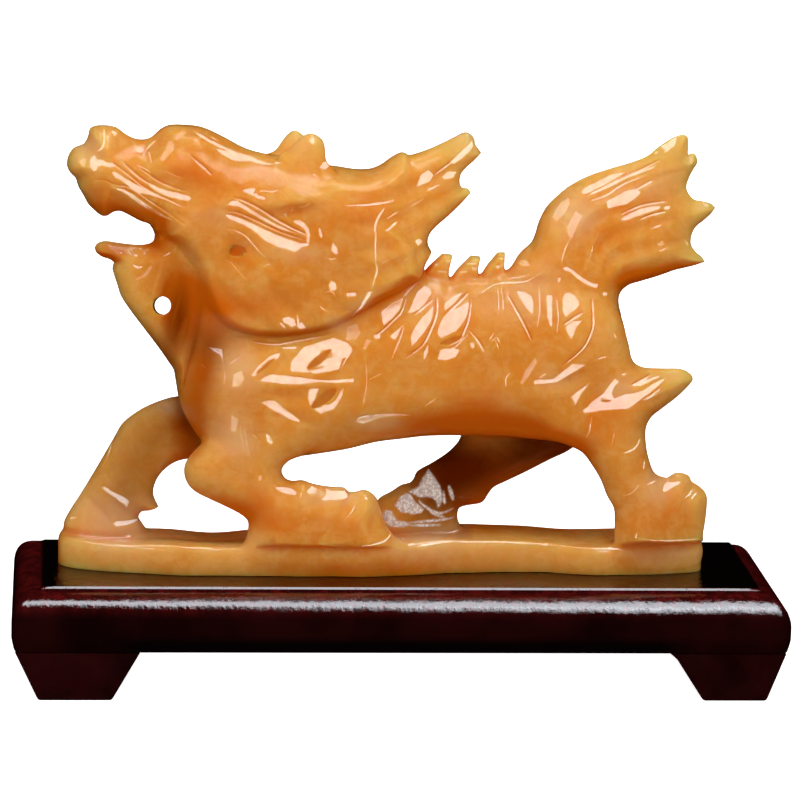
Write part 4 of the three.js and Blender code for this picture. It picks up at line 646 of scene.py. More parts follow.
NEAR_LINES = [
    # head
    (1.1, [(-116.4, 172), (-116.3, 168), (-117.5, 165.5), (-118.7, 164.4)]),
    (0.8, [(-101.6, 162.9), (-99, 166), (-96.8, 168.1)]),
    (0.8, [(-99.3, 164.1), (-98.9, 162.6), (-98.5, 161)]),
    (0.8, [(-104.2, 159.7), (-101, 158.7), (-98.8, 157.6)]),
    (0.8, [(-93, 158.4), (-90, 156.9), (-86.6, 155.8)]),
    (0.8, [(-75.4, 168.7), (-71, 166.2), (-66.6, 164.4)]),
    (0.7, [(-76, 170), (-73, 168.4)]),
    (0.8, [(-59.6, 150.6), (-56, 151.7), (-53, 151.4), (-50.4, 152.4)]),
    (0.8, [(-48.1, 143.5), (-47.2, 141.7), (-45.4, 140.3)]),
    (0.9, [(-43.2, 145.9), (-40.6, 146.2), (-38.7, 147.9)]),
    (1.0, [(-70.4, 137.1), (-66, 136.3), (-62.5, 134.1), (-59.5, 130.8), (-57, 128),
           (-55.1, 126.5)]),
    (0.8, [(-70.2, 125.2), (-67.8, 124), (-65.6, 121.4), (-63.6, 119), (-61.8, 117.6)]),
    (0.7, [(-67, 124.8), (-65.2, 122.4), (-63.8, 120.2)]),
    (0.8, [(-56, 122.6), (-54.2, 123.6), (-53, 123.4)]),
    (0.7, [(-38, 157.4), (-35.6, 156.4), (-34.2, 155)]),
    (0.8, [(-30.4, 155.2), (-28.3, 154.6)]),
    # jaw and beard
    (1.7, [(-104.4, 126), (-105.7, 125.1), (-105.1, 124), (-103, 123.4)]),
    (1.0, [(-104.4, 126), (-103.2, 126.1)]),
    (1.2, [(-102, 125.9), (-101, 125.4), (-99.2, 125.3)]),
    (1.3, [(-100.8, 124.3), (-100.1, 124.3)]),
    (1.0, [(-110, 124.4), (-108.7, 124.4)]),
    (1.5, [(-104.8, 120.1), (-103.5, 119.3), (-102.3, 119.2), (-101, 119.7)]),
    (1.0, [(-88.6, 128.6), (-89.2, 126.9), (-91, 125.5), (-93.6, 123.9)]),
    (0.9, [(-87.6, 127.1), (-85.5, 124.5), (-83, 121.6), (-80.8, 120)]),
    (0.7, [(-85.6, 123), (-84.9, 121), (-82.8, 119.6)]),
    (0.7, [(-92.6, 117.5), (-89.4, 119.4)]),
    (1.0, [(-100.6, 125.4), (-99.8, 125)]),
    (0.9, [(-119.9, 127.5), (-119.2, 127.1)]),
    (0.8, [(-34.3, 108), (-32.6, 106.4), (-31, 105.7)]),
    (0.9, [(-32.2, 112.6), (-31, 113.2), (-29, 112.8), (-28.4, 111.2)]),
    (0.9, [(-31.4, 126.3), (-29.6, 125.9), (-27.8, 126.6)]),
    # mane
    (0.8, [(-28.6, 160.2), (-21, 159.6), (-13.8, 160)]),
    (0.9, [(-25.5, 146.6), (-17.3, 146.5), (-10.2, 146.9), (-6.1, 147.6)]),
    (1.2, [(-10.1, 144.9), (-13, 140.7), (-14, 136)]),
    (1.1, [(-13.2, 136.4), (-13.4, 131), (-13, 124.8)]),
    (1.0, [(-13.4, 124.7), (-12.5, 121.6), (-14.4, 114.3)]),
    (1.0, [(-17.3, 108.6), (-21.3, 103.3)]),
    (0.8, [(-4.2, 143.4), (-9, 140.9)]),
    (0.9, [(-5, 139.3), (-9.5, 136.7)]),
    (0.8, [(-10.7, 124.4), (-7.6, 125.8)]),
    (0.8, [(6.9, 150.6), (12, 152.5)]),
    (0.7, [(2.4, 163.6), (6.8, 165)]),
    (0.7, [(0.2, 144.7), (5.4, 147.5)]),
    (0.8, [(-2.4, 125.2), (-1, 126.2)]),
    # neck and shoulder
    (0.8, [(-25.5, 82), (-23.4, 86.8), (-20.5, 90.7)]),
    (0.7, [(-63.3, 60.6), (-63, 57), (-62, 52), (-60.7, 48.4)]),
    (0.7, [(-61.8, 59.6), (-61, 55), (-60.2, 50.5), (-59.1, 47.9)]),
    (0.7, [(-68, 84.5), (-64, 87)]),
    (0.7, [(-69.6, 82), (-69.8, 76.6)]),
    (0.7, [(-16.2, 88), (-15.4, 78), (-16.6, 68)]),
    (0.8, [(-14.3, 79), (-10, 81.2)]),
    (0.8, [(-78.6, 83.6), (-76.8, 82.4)]),
    # flank
    (0.9, [(-6, 87), (-3.2, 94), (-1, 100.5)]),
    (0.9, [(-1.4, 110.4), (0.8, 113), (4, 115)]),
    (0.8, [(12.1, 91.4), (17.7, 91.4), (23.2, 96.5)]),
    (0.8, [(31.2, 94.7), (33.1, 97.4)]),
    (0.8, [(31.9, 94.1), (34, 95.8)]),
    (0.9, [(33.5, 95), (35.2, 90.8)]),
    (0.9, [(34.2, 96), (35.6, 93.3)]),
    (0.9, [(27.6, 93.2), (29.2, 90.6)]),
    (0.9, [(7.6, 68.6), (11.6, 71.8)]),
    # haunch
    (0.8, [(27.4, 110.8), (33.8, 114.2), (38.2, 114.9), (44.7, 115.6), (48.6, 117.9),
           (51.7, 120.6)]),
    (0.7, [(40.2, 116.3), (43.6, 117.2), (47, 119)]),
    (0.8, [(34.6, 103.5), (35, 109), (34.8, 114)]),
    (0.8, [(36.4, 104), (36.8, 109), (36.2, 113.4)]),
    (0.8, [(50.6, 114.9), (50.6, 107), (49.5, 99.4)]),
    (0.8, [(57.2, 110.1), (57.6, 103), (56.9, 96.8)]),
    (0.9, [(51, 80), (53.5, 82)]),
    (0.9, [(38.2, 76.6), (38.2, 80), (39.8, 82)]),
    (0.8, [(79.6, 97.6), (80.6, 95)]),
    (0.8, [(72, 87.6), (77, 88.8)]),
    (1.1, [(85, 50.7), (88, 51.5), (90.5, 53.5), (91.5, 55.9)]),
    (0.8, [(85.4, 33.4), (88.5, 34.5), (91.6, 38.2)]),
    (0.8, [(93.7, 46.8), (93.3, 43.4)]),
    (0.9, [(91, 81.8), (95, 82.4), (100, 82.4)]),
    (0.7, [(92, 71), (98.8, 74.4)]),
    (0.8, [(70.2, 56.4), (71.4, 60), (72, 65)]),
    (0.7, [(80, 53), (81, 59)]),
    (0.8, [(23.2, 121.2), (27.9, 121.4)]),
    (0.8, [(35.6, 123.2), (38.3, 123.4)]),
    (0.8, [(34.5, 119.7), (36.5, 120)]),
    # tail
    (0.9, [(62.1, 133.2), (60.3, 130), (59.2, 126), (59, 123)]),
    (0.6, [(68.4, 123.4), (70, 126), (71, 131), (73, 135)]),
    (0.8, [(66, 153.5), (70, 156), (76, 158), (84, 160)]),
    (0.8, [(70, 150), (80, 154.5), (90, 158), (96, 160.4)]),
    (0.9, [(70, 147.5), (76, 149.5), (83, 153.5), (92, 157)]),
    (0.9, [(98.4, 165.4), (100.6, 166.5)]),
    (0.9, [(95, 164.6), (96.4, 165.4)]),
    (0.8, [(94, 136.4), (98, 137.8)]),
    (0.8, [(97, 127.7), (100.6, 128.9)]),
    (0.8, [(108, 131), (109.6, 128.9)]),
    # the hoof's edge and the front edge of the slab
    (1.1, [(-32, 13.9), (-23.2, 12.7), (-13.6, 13.1), (-6.7, 14.4), (-4, 16)]),
    (1.0, [(91, 16.7), (100.4, 15.5), (112.1, 14.6), (117, 14.4)]),
    (0.9, [(91, 16.4), (91.6, 19.2)]),
    (0.9, [(62.3, 11.3), (77.9, 10.5), (93.5, 10.6), (103.3, 10.4)]),
    (1.5, [(6.4, 11.4), (19.6, 12.7), (27.3, 12.9), (38.9, 11.7)]),
    (0.8, [(-119.8, 6.6), (-116.4, 9.3), (-111.9, 10), (-101.1, 10), (-87.7, 9.6)]),
    # feet
    (0.9, [(-58.4, 57), (-57, 55.4)]),
    (0.8, [(-38.9, 33.6), (-40.1, 30.9)]),
    (0.9, [(-14.8, 31.1), (-13.4, 30.6)]),
    (0.9, [(-17.4, 29.6), (-20, 26), (-23, 22.9)]),
    (0.9, [(94.7, 37.7), (98.6, 38.3)]),
    (1.1, [(110, 31.2), (112.5, 32.6), (113.6, 34.1)]),
    (0.9, [(112.8, 30.7), (115.5, 33.1)]),
    (0.8, [(-101, 60), (-104, 57.6), (-109, 54.2), (-110.3, 52), (-111.5, 48), (-113, 43),
           (-115.4, 37.8)]),
    (0.9, [(-121, 30), (-123.5, 26.2), (-126, 22)]),
    (0.8, [(-128, 16.8), (-125.2, 18)]),
    (0.9, [(-47.2, 18.4), (-44.4, 17.3)]),
]
# Hollows that face the ground, as pointed ovals: start, end, width.
NEAR_LEAVES = [
    ((-38.4, 82.7), (-29, 90.5), 3.0),
    ((-57.6, 81.2), (-50.6, 87), 1.3),
    ((-36.2, 67.8), (-27, 74.9), 4.2),
    ((12.4, 93), (21, 95.9), 2.2),
    ((75, 71.3), (79.6, 70.9), 1.0),
]
# Unpolished patches on the far hind foot, painted whitish: partly their own frosted tone, partly
# painted sheen.
FROST = [
    [(-6.2, 19.4), (-4.5, 21.6), (-2.5, 21.3), (-1.5, 19.5), (0, 17.6), (4, 17.1), (5, 16),
     (2, 15.2), (-3, 15.4), (-5, 17)],
    [(-1.2, 23.4), (1, 26.6), (3.5, 27.9), (5, 27.5), (6.5, 25.1), (8, 24), (10, 22.4),
     (9, 21), (6, 20.4), (3, 20.9), (1, 21.2), (0, 22.4)],
    [(4.3, 28.4), (8, 30.6), (9.5, 34), (12, 37.2), (14, 35), (16, 32), (17, 29), (17, 26),
     (16.5, 24), (15.5, 23), (15, 25.4), (13.5, 27), (11, 27.4), (8.5, 27), (7, 27.5)],
]
FROST_LINES = [
    (1.5, [(19.6, 32.2), (20.6, 29), (21.6, 25.8)]),
    (1.0, [(17.5, 30), (18, 26), (18.3, 24.4)]),
    (1.0, [(8, 26), (9.5, 24.2), (12, 22.6), (14, 20.6), (17, 19.5), (19.2, 18.4)]),
    (0.8, [(12, 22.7), (15, 21.1), (18, 21), (22, 22.4)]),
    (0.9, [(4.4, 17), (10, 17.5), (16, 18), (22.6, 18.4)]),
    (1.0, [(5, 15.9), (10, 15.9), (17, 16.2)]),
]
# Broad cuts that both sides share: first path, last path, how many, width and depth.
BROAD_CUTS = [
    ([(59, 128), (61, 152), (105, 167.5)], [(79, 116), (88, 121), (112, 123.5)], 6, 6.6, 2.4),
    ([(-26, 151), (-6, 149), (24, 162)], [(-20, 107), (-10, 112), (5, 119)], 5, 8, 2.8),
    ([(-112, 157.5), (-98, 148), (-80, 145)], [(-117, 150), (-104, 145), (-84, 134)], 3, 6, 2),
    ([(-72, 144), (-54, 137), (-37, 131)], [(-74, 134), (-62, 130), (-50, 121)], 2, 7, 2.4),
    ([(-74, 118), (-66, 107), (-54, 99)], [(-36, 120), (-30, 110), (-20, 104)], 3, 8, 2.4),
    ([(-46, 88), (-50, 83), (-59, 79)], [(-20, 92), (-22, 86), (-29, 78)], 2, 8, 2.8),
    ([(-56, 74), (-42, 72), (-24, 75)], [(-52, 64), (-44, 64), (-34, 60)], 2, 7, 2.4),
    ([(0, 111), (-2, 102), (-13, 94)], [(24, 112), (24, 98), (13, 88)], 3, 7.4, 2.8),
    ([(39, 112), (43, 102), (47, 93)], [(57, 112), (57, 102), (57, 91)], 2, 7.4, 2.6),
    ([(70, 108), (72, 96), (60, 85)], [(70, 84), (62, 79), (49, 77)], 2, 7.4, 2.6),
    ([(84, 78), (96, 79), (108, 78.6)], [(84, 70), (92, 70.5), (103, 73)], 2, 5.4, 1.9),
    ([(-21, 33), (-23, 27), (-25, 20)], [(-9.5, 29), (-11, 22), (-12, 15)], 2, 5.6, 2),
    ([(104, 39), (103, 33), (102, 26)], [(113.5, 37), (112, 29), (111, 20)], 2, 5.6, 2),
    ([(-122, 27), (-117, 22), (-112, 17)], [(-114, 29), (-109, 23), (-104, 19)], 2, 5.6, 2),
    ([(6, 31), (4, 24), (2, 16)], [(17, 33), (15, 25), (13, 17)], 2, 5.6, 2),
]
# Raised or hollowed places: centre, half sizes, turn in degrees, height.
SWELLINGS = [
    ((-94, 161), (11, 8), 20, 2.4), ((-84, 170), (17, 4.5), -10, 1.8),
    ((-116, 167), (6, 6), 0, 1.6), ((-100, 164), (3.6, 3.6), 0, -2.2),
    ((-46, 148), (19, 6), 8, 2.2), ((-44, 144.5), (9, 3.4), 8, -1.2),
    ((-54, 78), (20, 13), 0, 1.6), ((66, 92), (19, 18), 30, 1.8),
]
# The side of the photo has its own fine cuts, so the broad ones are wider there and shallower.
NEAR_WIDTH = 1.3
NEAR_SHARE = 0.3
# The far side has the broad cuts, a bright line in each and a thinner cut between them.
FAR_SHARE = 0.7
FAR_LINE = 1.0
BETWEEN_WIDTH = 0.3
BETWEEN_DEPTH = 0.5
FROST_RIM = 0.7  # softness of the frosted patches' edge, mm
FROST_LINE_RIM = 0.5
FROST_FROM_X = -8.0  # frost lies only where x and y are above these: on the far hind foot
FROST_FROM_Y = -14.0
BAND = 3.0  # how far from the surface the lattice is kept, mm
CUTS_FROM = 5.0  # height below which the stone has no cuts
RIM_PASSES = 6  # how often the map of the cuts is blurred before their rims are read from it
RIM_LOW = 0.04
RIM_HIGH = 0.96
COARSE_STEP = 2.0  # mm between the points where the stone's fullness is measured
FINE_REACH = 0.6  # mm over which the slope of the carved surface is taken
BROAD_REACH = 2.6  # the same for the foot of the slab
CHIN_HOLE = (-93.0, 103.0, 3.5, 11.0)  # x, z, radius, tilt in degrees
BORE_TURN = 0.06  # how far the hole moves along x for each mm across
# Leans in degrees between which the shading turns faster, and what they become.
CALM_FROM = (-90, 22, 62, 70, 90)
CALM_TO = (-90, 22, 30, 70, 90)
# Soft ovals, as x, z, half sizes, turn in degrees, strength. Deeper orange: partly the stone's own
# tone, partly painted shade in creases and undersides. Milkier: partly its own clouds, partly
# painted sheen and painted light. Darker: painted shade.
DEEP_TONE_AND_SHADE = [
    (-96, 134, 6, 7, 20, 1.0), (-87, 111, 11, 9, -20, 1.0), (-88, 97, 7, 14, -15, 0.7),
    (-74, 100, 9, 11, 30, 0.5), (-53, 109, 27, 8, 10, 0.5), (-7, 111, 20, 4, 32, 0.6),
    (-41, 96, 23, 5, 8, 0.3), (-79, 76, 7, 23, -10, 0.9), (-82, 54, 6, 10, 0, 0.7),
    (28, 71, 15, 9, 0, 0.6), (25, 59, 23, 6, 0, 0.9), (58, 55, 15, 6, -25, 0.6),
    (-110, 141, 8, 3, 0, 0.6), (-118, 147, 5, 9, -30, 0.5), (-111, 118, 3, 10, -15, 0.3),
    (-114, 125, 9, 4, 0, 0.6), (94, 119, 19, 4, 10, 0.8), (85, 106, 5, 15, 0, 0.6),
    (-57, 29, 12, 10, 0, 0.7), (-36, 21, 23, 5, 0, 0.5), (-19, 142, 15, 10, 0, 0.5),
    (-84, 158, 13, 6, -20, 0.6), (-29, 161, 19, 5, 5, 0.35), (-66, 128, 5, 5, 0, 0.5),
    (100, 24, 15, 7, 0, 0.5), (28, 38, 28, 16, 0, 0.9), (75, 63, 9, 19, -15, 0.4),
    (0, 0, 140, 4, 0, 0.5), (-116, 164, 9, 5, 0, 0.15), (74, 134, 19, 8, 20, 0.35),
    (-10, 3, 55, 9, 0, 0.4), (-98, 127, 6, 5, 0, 0.4),
]
# Milkier ovals: partly the stone's own clouds, partly painted sheen and painted light.
MILKY_AND_PAINTED_LIGHT = [
    (-76, 142, 12, 7, 0, 0.6), (-42, 129, 13, 6, -10, 0.6), (-64, 83, 9, 12, 0, 0.8),
    (-66, 55, 9, 12, 30, 0.7), (24, 110, 23, 15, 0, 0.45), (50, 114, 15, 15, 0, 0.5),
    (29, 73, 12, 5, 0, 0.3), (-10, 61, 12, 5, 0, 0.6), (64, 142, 10, 9, 0, 0.8),
    (93, 152, 17, 9, 20, 0.5), (83, 75, 9, 6, 20, 0.8), (-112, 19, 17, 12, 0, 0.9),
    (-90, 62, 8, 5, 0, 0.8), (13, 14, 19, 4, 0, 0.6), (100, 36, 11, 8, 0, 0.6),
    (0, 9, 130, 3, 0, 0.3), (-28, 31, 17, 4, 0, 0.5),
    (-68, 15, 27, 5, 0, 0.4), (-26, 100, 8, 4, -20, 0.5), (-17, 109, 9, 4, 40, 0.5),
    (-70, 101, 15, 5, 0, 0.3), (59, 79, 15, 9, 0, 0.45), (-122, 166, 9, 8, 0, 0.6),
    (23, 168, 9, 8, 40, 0.5), (-42, 169, 8, 7, 0, 0.4), (104, 7, 22, 7, 0, 0.5),
]
# Painted shade, which darkens the stone.
SHADED = [
    (-78, 76, 6, 22, -10, 0.3), (-115, 125, 8, 4, 0, 0.3), (-92, 116, 11, 8, -20, 0.2),
    (-88, 99, 6, 15, -8, 0.85), (-45, 96, 23, 4, 5, 0.25), (-75, 91, 8, 8, 0, 0.4),
]
# Painted shadow on the legs of the far side, in the shadow of the body, and on the back edge of the
# base.
SHADED_BEHIND = [
    (40, 42, 35, 13, 0, 0.8), (21, 32, 19, 15, -40, 0.55), (9, 22, 15, 12, 0, 0.45),
    (58, 49, 15, 6, 0, 0.8), (-82, 57, 8, 15, 10, 0.6), (-97, 52, 15, 19, -30, 0.45),
    (-105, 28, 12, 15, 0, 0.4), (-79, 12, 19, 3, 0, 0.4), (58, 12, 31, 2.5, 0, 0.4),
]
BEHIND = -10.0  # y
SOFT_POLISH = 0.32
SOFT_WANDER = 0.2
LINE_SHARE = 0.75  # of the drawn width of a thin line, whose soft rim widens it
DIMPLE = (-66.3, 128.2, 4.0, 2.8, 0.9)  # x, z, half width, half height, depth


def near_side():
    """The cuts of the side that shows in the photo."""
    side = Side()
    for first, last, count, width, depth in BROAD_CUTS:
        for path in fan(first, last, count):
            side.hollow(path, NEAR_WIDTH * width, NEAR_SHARE * depth)
    for outline in NEAR_SOFT_FACETS:
        side.facet(outline, polish=SOFT_POLISH, wander=SOFT_WANDER)
    for width, path in NEAR_GOUGES:
        side.gouge(path, LINE_SHARE * width)
    for outline in NEAR_FACETS:
        side.facet(outline)
    for start, end, width in NEAR_LEAVES:
        side.leaf(start, end, width)
    for width, path in NEAR_LINES:
        side.stroke(path, LINE_SHARE * width)
    for outline in FROST:
        at, x, z = side.window(outline, 2)
        inside = -loop_distance(np.array(outline, float), x, z)
        side.frost[at] = np.maximum(side.frost[at], smoothstep(inside / FROST_RIM + 0.5))
    for width, path in FROST_LINES:
        at, nearest, along = side.trace(path, width)
        ends = np.sqrt(np.clip(np.sin(np.pi * along), 0, 1))
        mask = smoothstep((0.5 * width * ends - nearest) / FROST_LINE_RIM + 0.5)
        side.frost[at] = np.maximum(side.frost[at], mask)
    for centre, size, turn, height in SWELLINGS:
        side.swell(centre, size, turn, height)
    return side


def far_side():
    """The side away from the photo: the same carving, plainer."""
    side = Side()
    for first, last, count, width, depth in BROAD_CUTS:
        paths = fan(first, last, 2 * count - 1)
        for path in paths[::2]:
            side.hollow(path, width, FAR_SHARE * depth)
            side.gouge(path, FAR_LINE)
        for path in paths[1::2]:
            side.stroke(path, BETWEEN_WIDTH * width, depth=BETWEEN_DEPTH)
    for centre, size, turn, height in SWELLINGS:
        side.swell(centre, size, turn, height)
    return side


def map_at(field, x, z):
    """A side map read at the points, between its grid points in proportion."""
    u = np.clip((x - MX[0]) / MAP_STEP, 0, len(MX) - 1.001)
    v = np.clip((z - MZ[0]) / MAP_STEP, 0, len(MZ) - 1.001)
    i, k = u.astype(int), v.astype(int)
    u, v = u - i, v - k
    return ((field[i, k] * (1 - u) + field[i + 1, k] * u) * (1 - v)
            + (field[i, k + 1] * (1 - u) + field[i + 1, k + 1] * u) * v)


def field_at(field, points, low=LOW, step=STEP):
    """The lattice read at the points, between its corners in proportion."""
    cell = [np.clip((points[:, k] - low[k]) / step, 0, field.shape[k] - 1.001) for k in range(3)]
    base = [c.astype(int) for c in cell]
    part = [c - b for c, b in zip(cell, base)]
    total = np.zeros(len(points))
    for di in (0, 1):
        for dj in (0, 1):
            for dk in (0, 1):
                weight = ((part[0] if di else 1 - part[0]) * (part[1] if dj else 1 - part[1])
                          * (part[2] if dk else 1 - part[2]))
                total += weight * field[base[0] + di, base[1] + dj, base[2] + dk]
    return total


def normals_at(field, points, reach=1.0):
    """The direction in which the lattice rises fastest, which is out of the stone."""
    parts = []
    for axis in range(3):
        step = np.zeros(3)
        step[axis] = reach
        parts.append(field_at(field, points + step) - field_at(field, points - step))
    n = np.stack(parts, 1)
    return n / (np.linalg.norm(n, axis=1, keepdims=True) + 1e-9)


def plain_field():
    """The figure and its base slab before the fine carving: negative inside the stone."""
    body = np.full(SHAPE, OUTSIDE, np.float32)
    head = np.full(SHAPE, OUTSIDE, np.float32)
    add_forms(body, BODY_FORMS)
    add_slab(body)
    add_forms(body, [(tooth_outline(*tooth), TOOTH_EDGE, TOOTH_BLEND, even(TOOTH_HALF, MID_Y))
                     for tooth in TEETH])
    add_forms(head, HEAD_FORMS)
    return soft_union(body, head, HEAD_BLEND)


def carve(field, near, far):
    """The cuts of both sides, the hole of the beard and the dimple, taken out of the stone."""
    across = np.zeros_like(field)
    across[:, 1:-1] = (field[:, 2:] - field[:, :-2]) / (2 * STEP)
    x, z = np.meshgrid(GX, GZ, indexing="ij")
    above_slab = np.clip((z - SLAB_TOP - 0.5) / 3, 0, 1)
    for side, facing in ((near, -1), (far, 1)):
        depth = (map_at(side.depth, x, z) * above_slab)[:, None, :]
        field += (depth * np.clip(facing * across * 1.3, 0, 1)).astype(np.float32)
    gx, gy, gz = GX[:, None, None], GY[None, :, None], GZ[None, None, :]
    hx, hz, radius, tilt = CHIN_HOLE
    c, s = math.cos(math.radians(tilt)), math.sin(math.radians(tilt))
    aside = gx - hx - BORE_TURN * (gy - MID_Y)
    bore = radius - np.sqrt(aside ** 2 + ((gy - MID_Y) * s + (gz - hz) * c) ** 2)
    np.maximum(field, bore, out=field)
    dx, dz, wide, high, deep = DIMPLE
    cheek = MID_Y - CHEEK_HALF
    dent = 1 - np.sqrt(((gx - dx) / wide) ** 2 + ((gy - cheek) / deep) ** 2
                       + ((gz - dz) / high) ** 2)
    np.maximum(field, dent * deep, out=field)
    np.maximum(field, -gz, out=field)


def softened(field, passes):
    """The map or lattice blurred a little along each axis, passes times."""
    for _ in range(passes):
        for axis in range(field.ndim):
            padded = np.pad(field, [(1, 1) if k == axis else (0, 0) for k in range(field.ndim)])
            low, mid, high = (np.take(padded, range(a, a + field.shape[axis]), axis)
                              for a in (0, 1, 2))
            field = 0.25 * low + 0.5 * mid + 0.25 * high
    return field


def tone(points, places):
    """How strongly the soft ovals cover each point, from 0 to 1."""
    total = np.zeros(len(points))
    for x, z, wide, high, turn, strength in places:
        c, s = math.cos(math.radians(turn)), math.sin(math.radians(turn))
        du, dv = points[:, 0] - x, points[:, 2] - z
        u, v = (du * c + dv * s) / wide, (dv * c - du * s) / high
        total += strength * np.exp(-u * u - v * v)
    return np.clip(total, 0, 1)


def placed(name, data):
    """A new object of the scene."""
    obj = bpy.data.objects.new(name, data)
    bpy.context.scene.collection.objects.link(obj)
    return obj


def thinned(rough, rest):
    """The mesh thinned out to CARVING_TRIANGLES; the vertices that rest leaves out go last."""
    holder = placed(rough.name, rough)
    holder.vertex_groups.new(name="rest").add(np.flatnonzero(rest).tolist(), 1.0, "REPLACE")
    thin_out = holder.modifiers.new("thin_out", "DECIMATE")
    thin_out.ratio = min(1.0, CARVING_TRIANGLES / (2 * len(rough.polygons)))
    thin_out.vertex_group = "rest"
    bpy.context.view_layer.update()
    mesh = bpy.data.meshes.new_from_object(
        holder.evaluated_get(bpy.context.evaluated_depsgraph_get()))
    bpy.data.objects.remove(holder)
    return mesh


def calmed(normals):
    """Normals that hurry past the leans at which the overhead light is mirrored, so that outside
    the cuts it shows as a thin line along the crests."""
    level = np.hypot(normals[:, 0], normals[:, 1])
    lean = np.degrees(np.arctan2(normals[:, 2], level))
    turned = np.radians(np.interp(lean, CALM_FROM, CALM_TO))
    flat = normals[:, :2] / np.maximum(level, 1e-4)[:, None] * np.cos(turned)[:, None]
    calm = np.column_stack([flat, np.sin(turned)])
    share = smoothstep((-normals[:, 1] - 0.1) / 0.2)[:, None]
    return normals + (calm - normals) * share


def carving_mesh(plain, carved, near):
    """The carved surface as a mesh, with all its vertices at the rims of the near side's cuts."""
    grid = openvdb.FloatGrid(BAND)
    grid.copyFromArray(np.clip(carved, -BAND, BAND))
    cells, quads = grid.convertToQuads(isovalue=0.0)
    corners = LOW + cells * STEP
    rough = bpy.data.meshes.new("carving_rough")
    rough.from_pydata(corners.tolist(), [], quads.tolist())
    drawn = softened(np.maximum(near.cover, np.maximum(near.frost, near.shade)), RIM_PASSES)
    drawn = map_at(drawn, corners[:, 0], corners[:, 2])
    rim = (drawn > RIM_LOW) & (drawn < RIM_HIGH) & (corners[:, 2] > CUTS_FROM)
    rim &= normals_at(plain, corners)[:, 1] < -0.2
    mesh = thinned(rough, ~rim)
    mesh.name = "qilin_stone"
    return mesh


def fullness(plain, points, normals):
    """How much stone there is round each point: close by outside it, and further round it."""
    coarse = max(1, round(COARSE_STEP / STEP))
    filled = np.clip(0.5 - plain[::coarse, ::coarse, ::coarse] / 2, 0, 1)
    step = coarse * STEP
    found = []
    for passes, margin, out in ((4, 3, 1.6), (26, 8, -2.5)):
        stone = softened(np.pad(filled, margin), passes)
        found.append(field_at(stone, points + out * normals, LOW - margin * step, step))
    return found


def build_carving():
    near, far = near_side(), far_side()
    plain = plain_field()
    carved = plain.copy()
    carve(carved, near, far)
    mesh = carving_mesh(plain, carved, near)
    count = len(mesh.vertices)
    points = np.zeros(count * 3, np.float32)
    mesh.vertices.foreach_get("co", points)
    points = points.reshape(-1, 3)
    x, y, z = points.T
    normals = normals_at(plain, points)
    # hollow measures how closely stone surrounds each point; the material paints shade in creases from
    # it
    hollow, bulk = fullness(plain, points, normals)
    shading = calmed(normals_at(carved, points, FINE_REACH))
    low = smoothstep((SLAB_TOP - 1.5 - z) / 2)[:, None]
    shading += (normals_at(plain, points, BROAD_REACH) - shading) * low
    frost, polish, shade = np.zeros(count), np.ones(count), np.zeros(count)
    # beside the outline and on the base slab it is glossier, but not in the creases
    gloss = smoothstep((normals[:, 1] + 0.1) / 0.3) * (1 - smoothstep((hollow - 0.42) / 0.16))
    gloss = np.maximum(gloss, 1 - smoothstep((z - SLAB_TOP) / 2))
    for side, facing in ((near, -1), (far, 1)):
        hold = smoothstep((facing * normals[:, 1] - 0.12) / 0.3) * smoothstep((z - CUTS_FROM) / 2)
        cover = map_at(side.cover, x, z) * hold
        lean_x, lean_z = map_at(side.lean_x, x, z), map_at(side.lean_z, x, z)
        cut = np.stack([lean_x, np.full(count, facing), lean_z], 1)
        cut /= np.linalg.norm(cut, axis=1, keepdims=True)
        shading += (cut - shading) * cover[:, None]
        polish += (map_at(side.polish, x, z) - 1) * hold
        gloss = np.maximum(gloss, cover * map_at(side.polish, x, z))
        shade += map_at(side.shade, x, z) * hold
        frost += map_at(side.frost, x, z) * hold
    shading /= np.linalg.norm(shading, axis=1, keepdims=True)

    # the dimple, which the material paints a deeper orange as shade in its hollow
    dx, dz, wide, high = DIMPLE[:4]
    dent = np.exp(-(((x - dx) / wide) ** 2 + ((z - dz) / high) ** 2)) * (y < MID_Y)
    # painted shadow of the body on the far legs and on the back edge of the base
    behind = tone(points, SHADED_BEHIND) * smoothstep((y - BEHIND) / 4)
    # painted shade: undersides turn a deeper orange, and so does the foot of the slab's far half
    painted_shade_below = 0.45 * smoothstep((-normals[:, 2] - 0.15) / 0.6)
    painted_shade_below += 0.6 * smoothstep((y + 10) / 8) * smoothstep((SLAB_TOP + 4 - z) / 3)
    frosted = (x > FROST_FROM_X) & (y > FROST_FROM_Y)
    looks = dict(hollow=hollow, bulk=bulk, deep_tone_and_shade=tone(points, DEEP_TONE_AND_SHADE) + painted_shade_below,
                 milky_and_painted_light=tone(points, MILKY_AND_PAINTED_LIGHT), shaded=np.maximum(tone(points, SHADED), behind),
                 polish=polish, gloss=gloss, shade=shade, frost=frost * frosted, dent=dent)
    for name, values in looks.items():
        layer = mesh.attributes.new(name, "FLOAT", "POINT")
        layer.data.foreach_set("value", np.asarray(values, np.float32))

    points[:, 2] += SEAT
    mesh.vertices.foreach_set("co", (points * MM).ravel())
    mesh.polygons.foreach_set("use_smooth", np.ones(len(mesh.polygons), bool))
    mesh.update()
    mesh.normals_split_custom_set_from_vertices(shading.tolist())
    return placed("qilin_stone", mesh)


# The stand.
CORNER_STEPS = 7
SIDE_PIECES = 60
BOARD_CORNER_RADIUS = 4.0
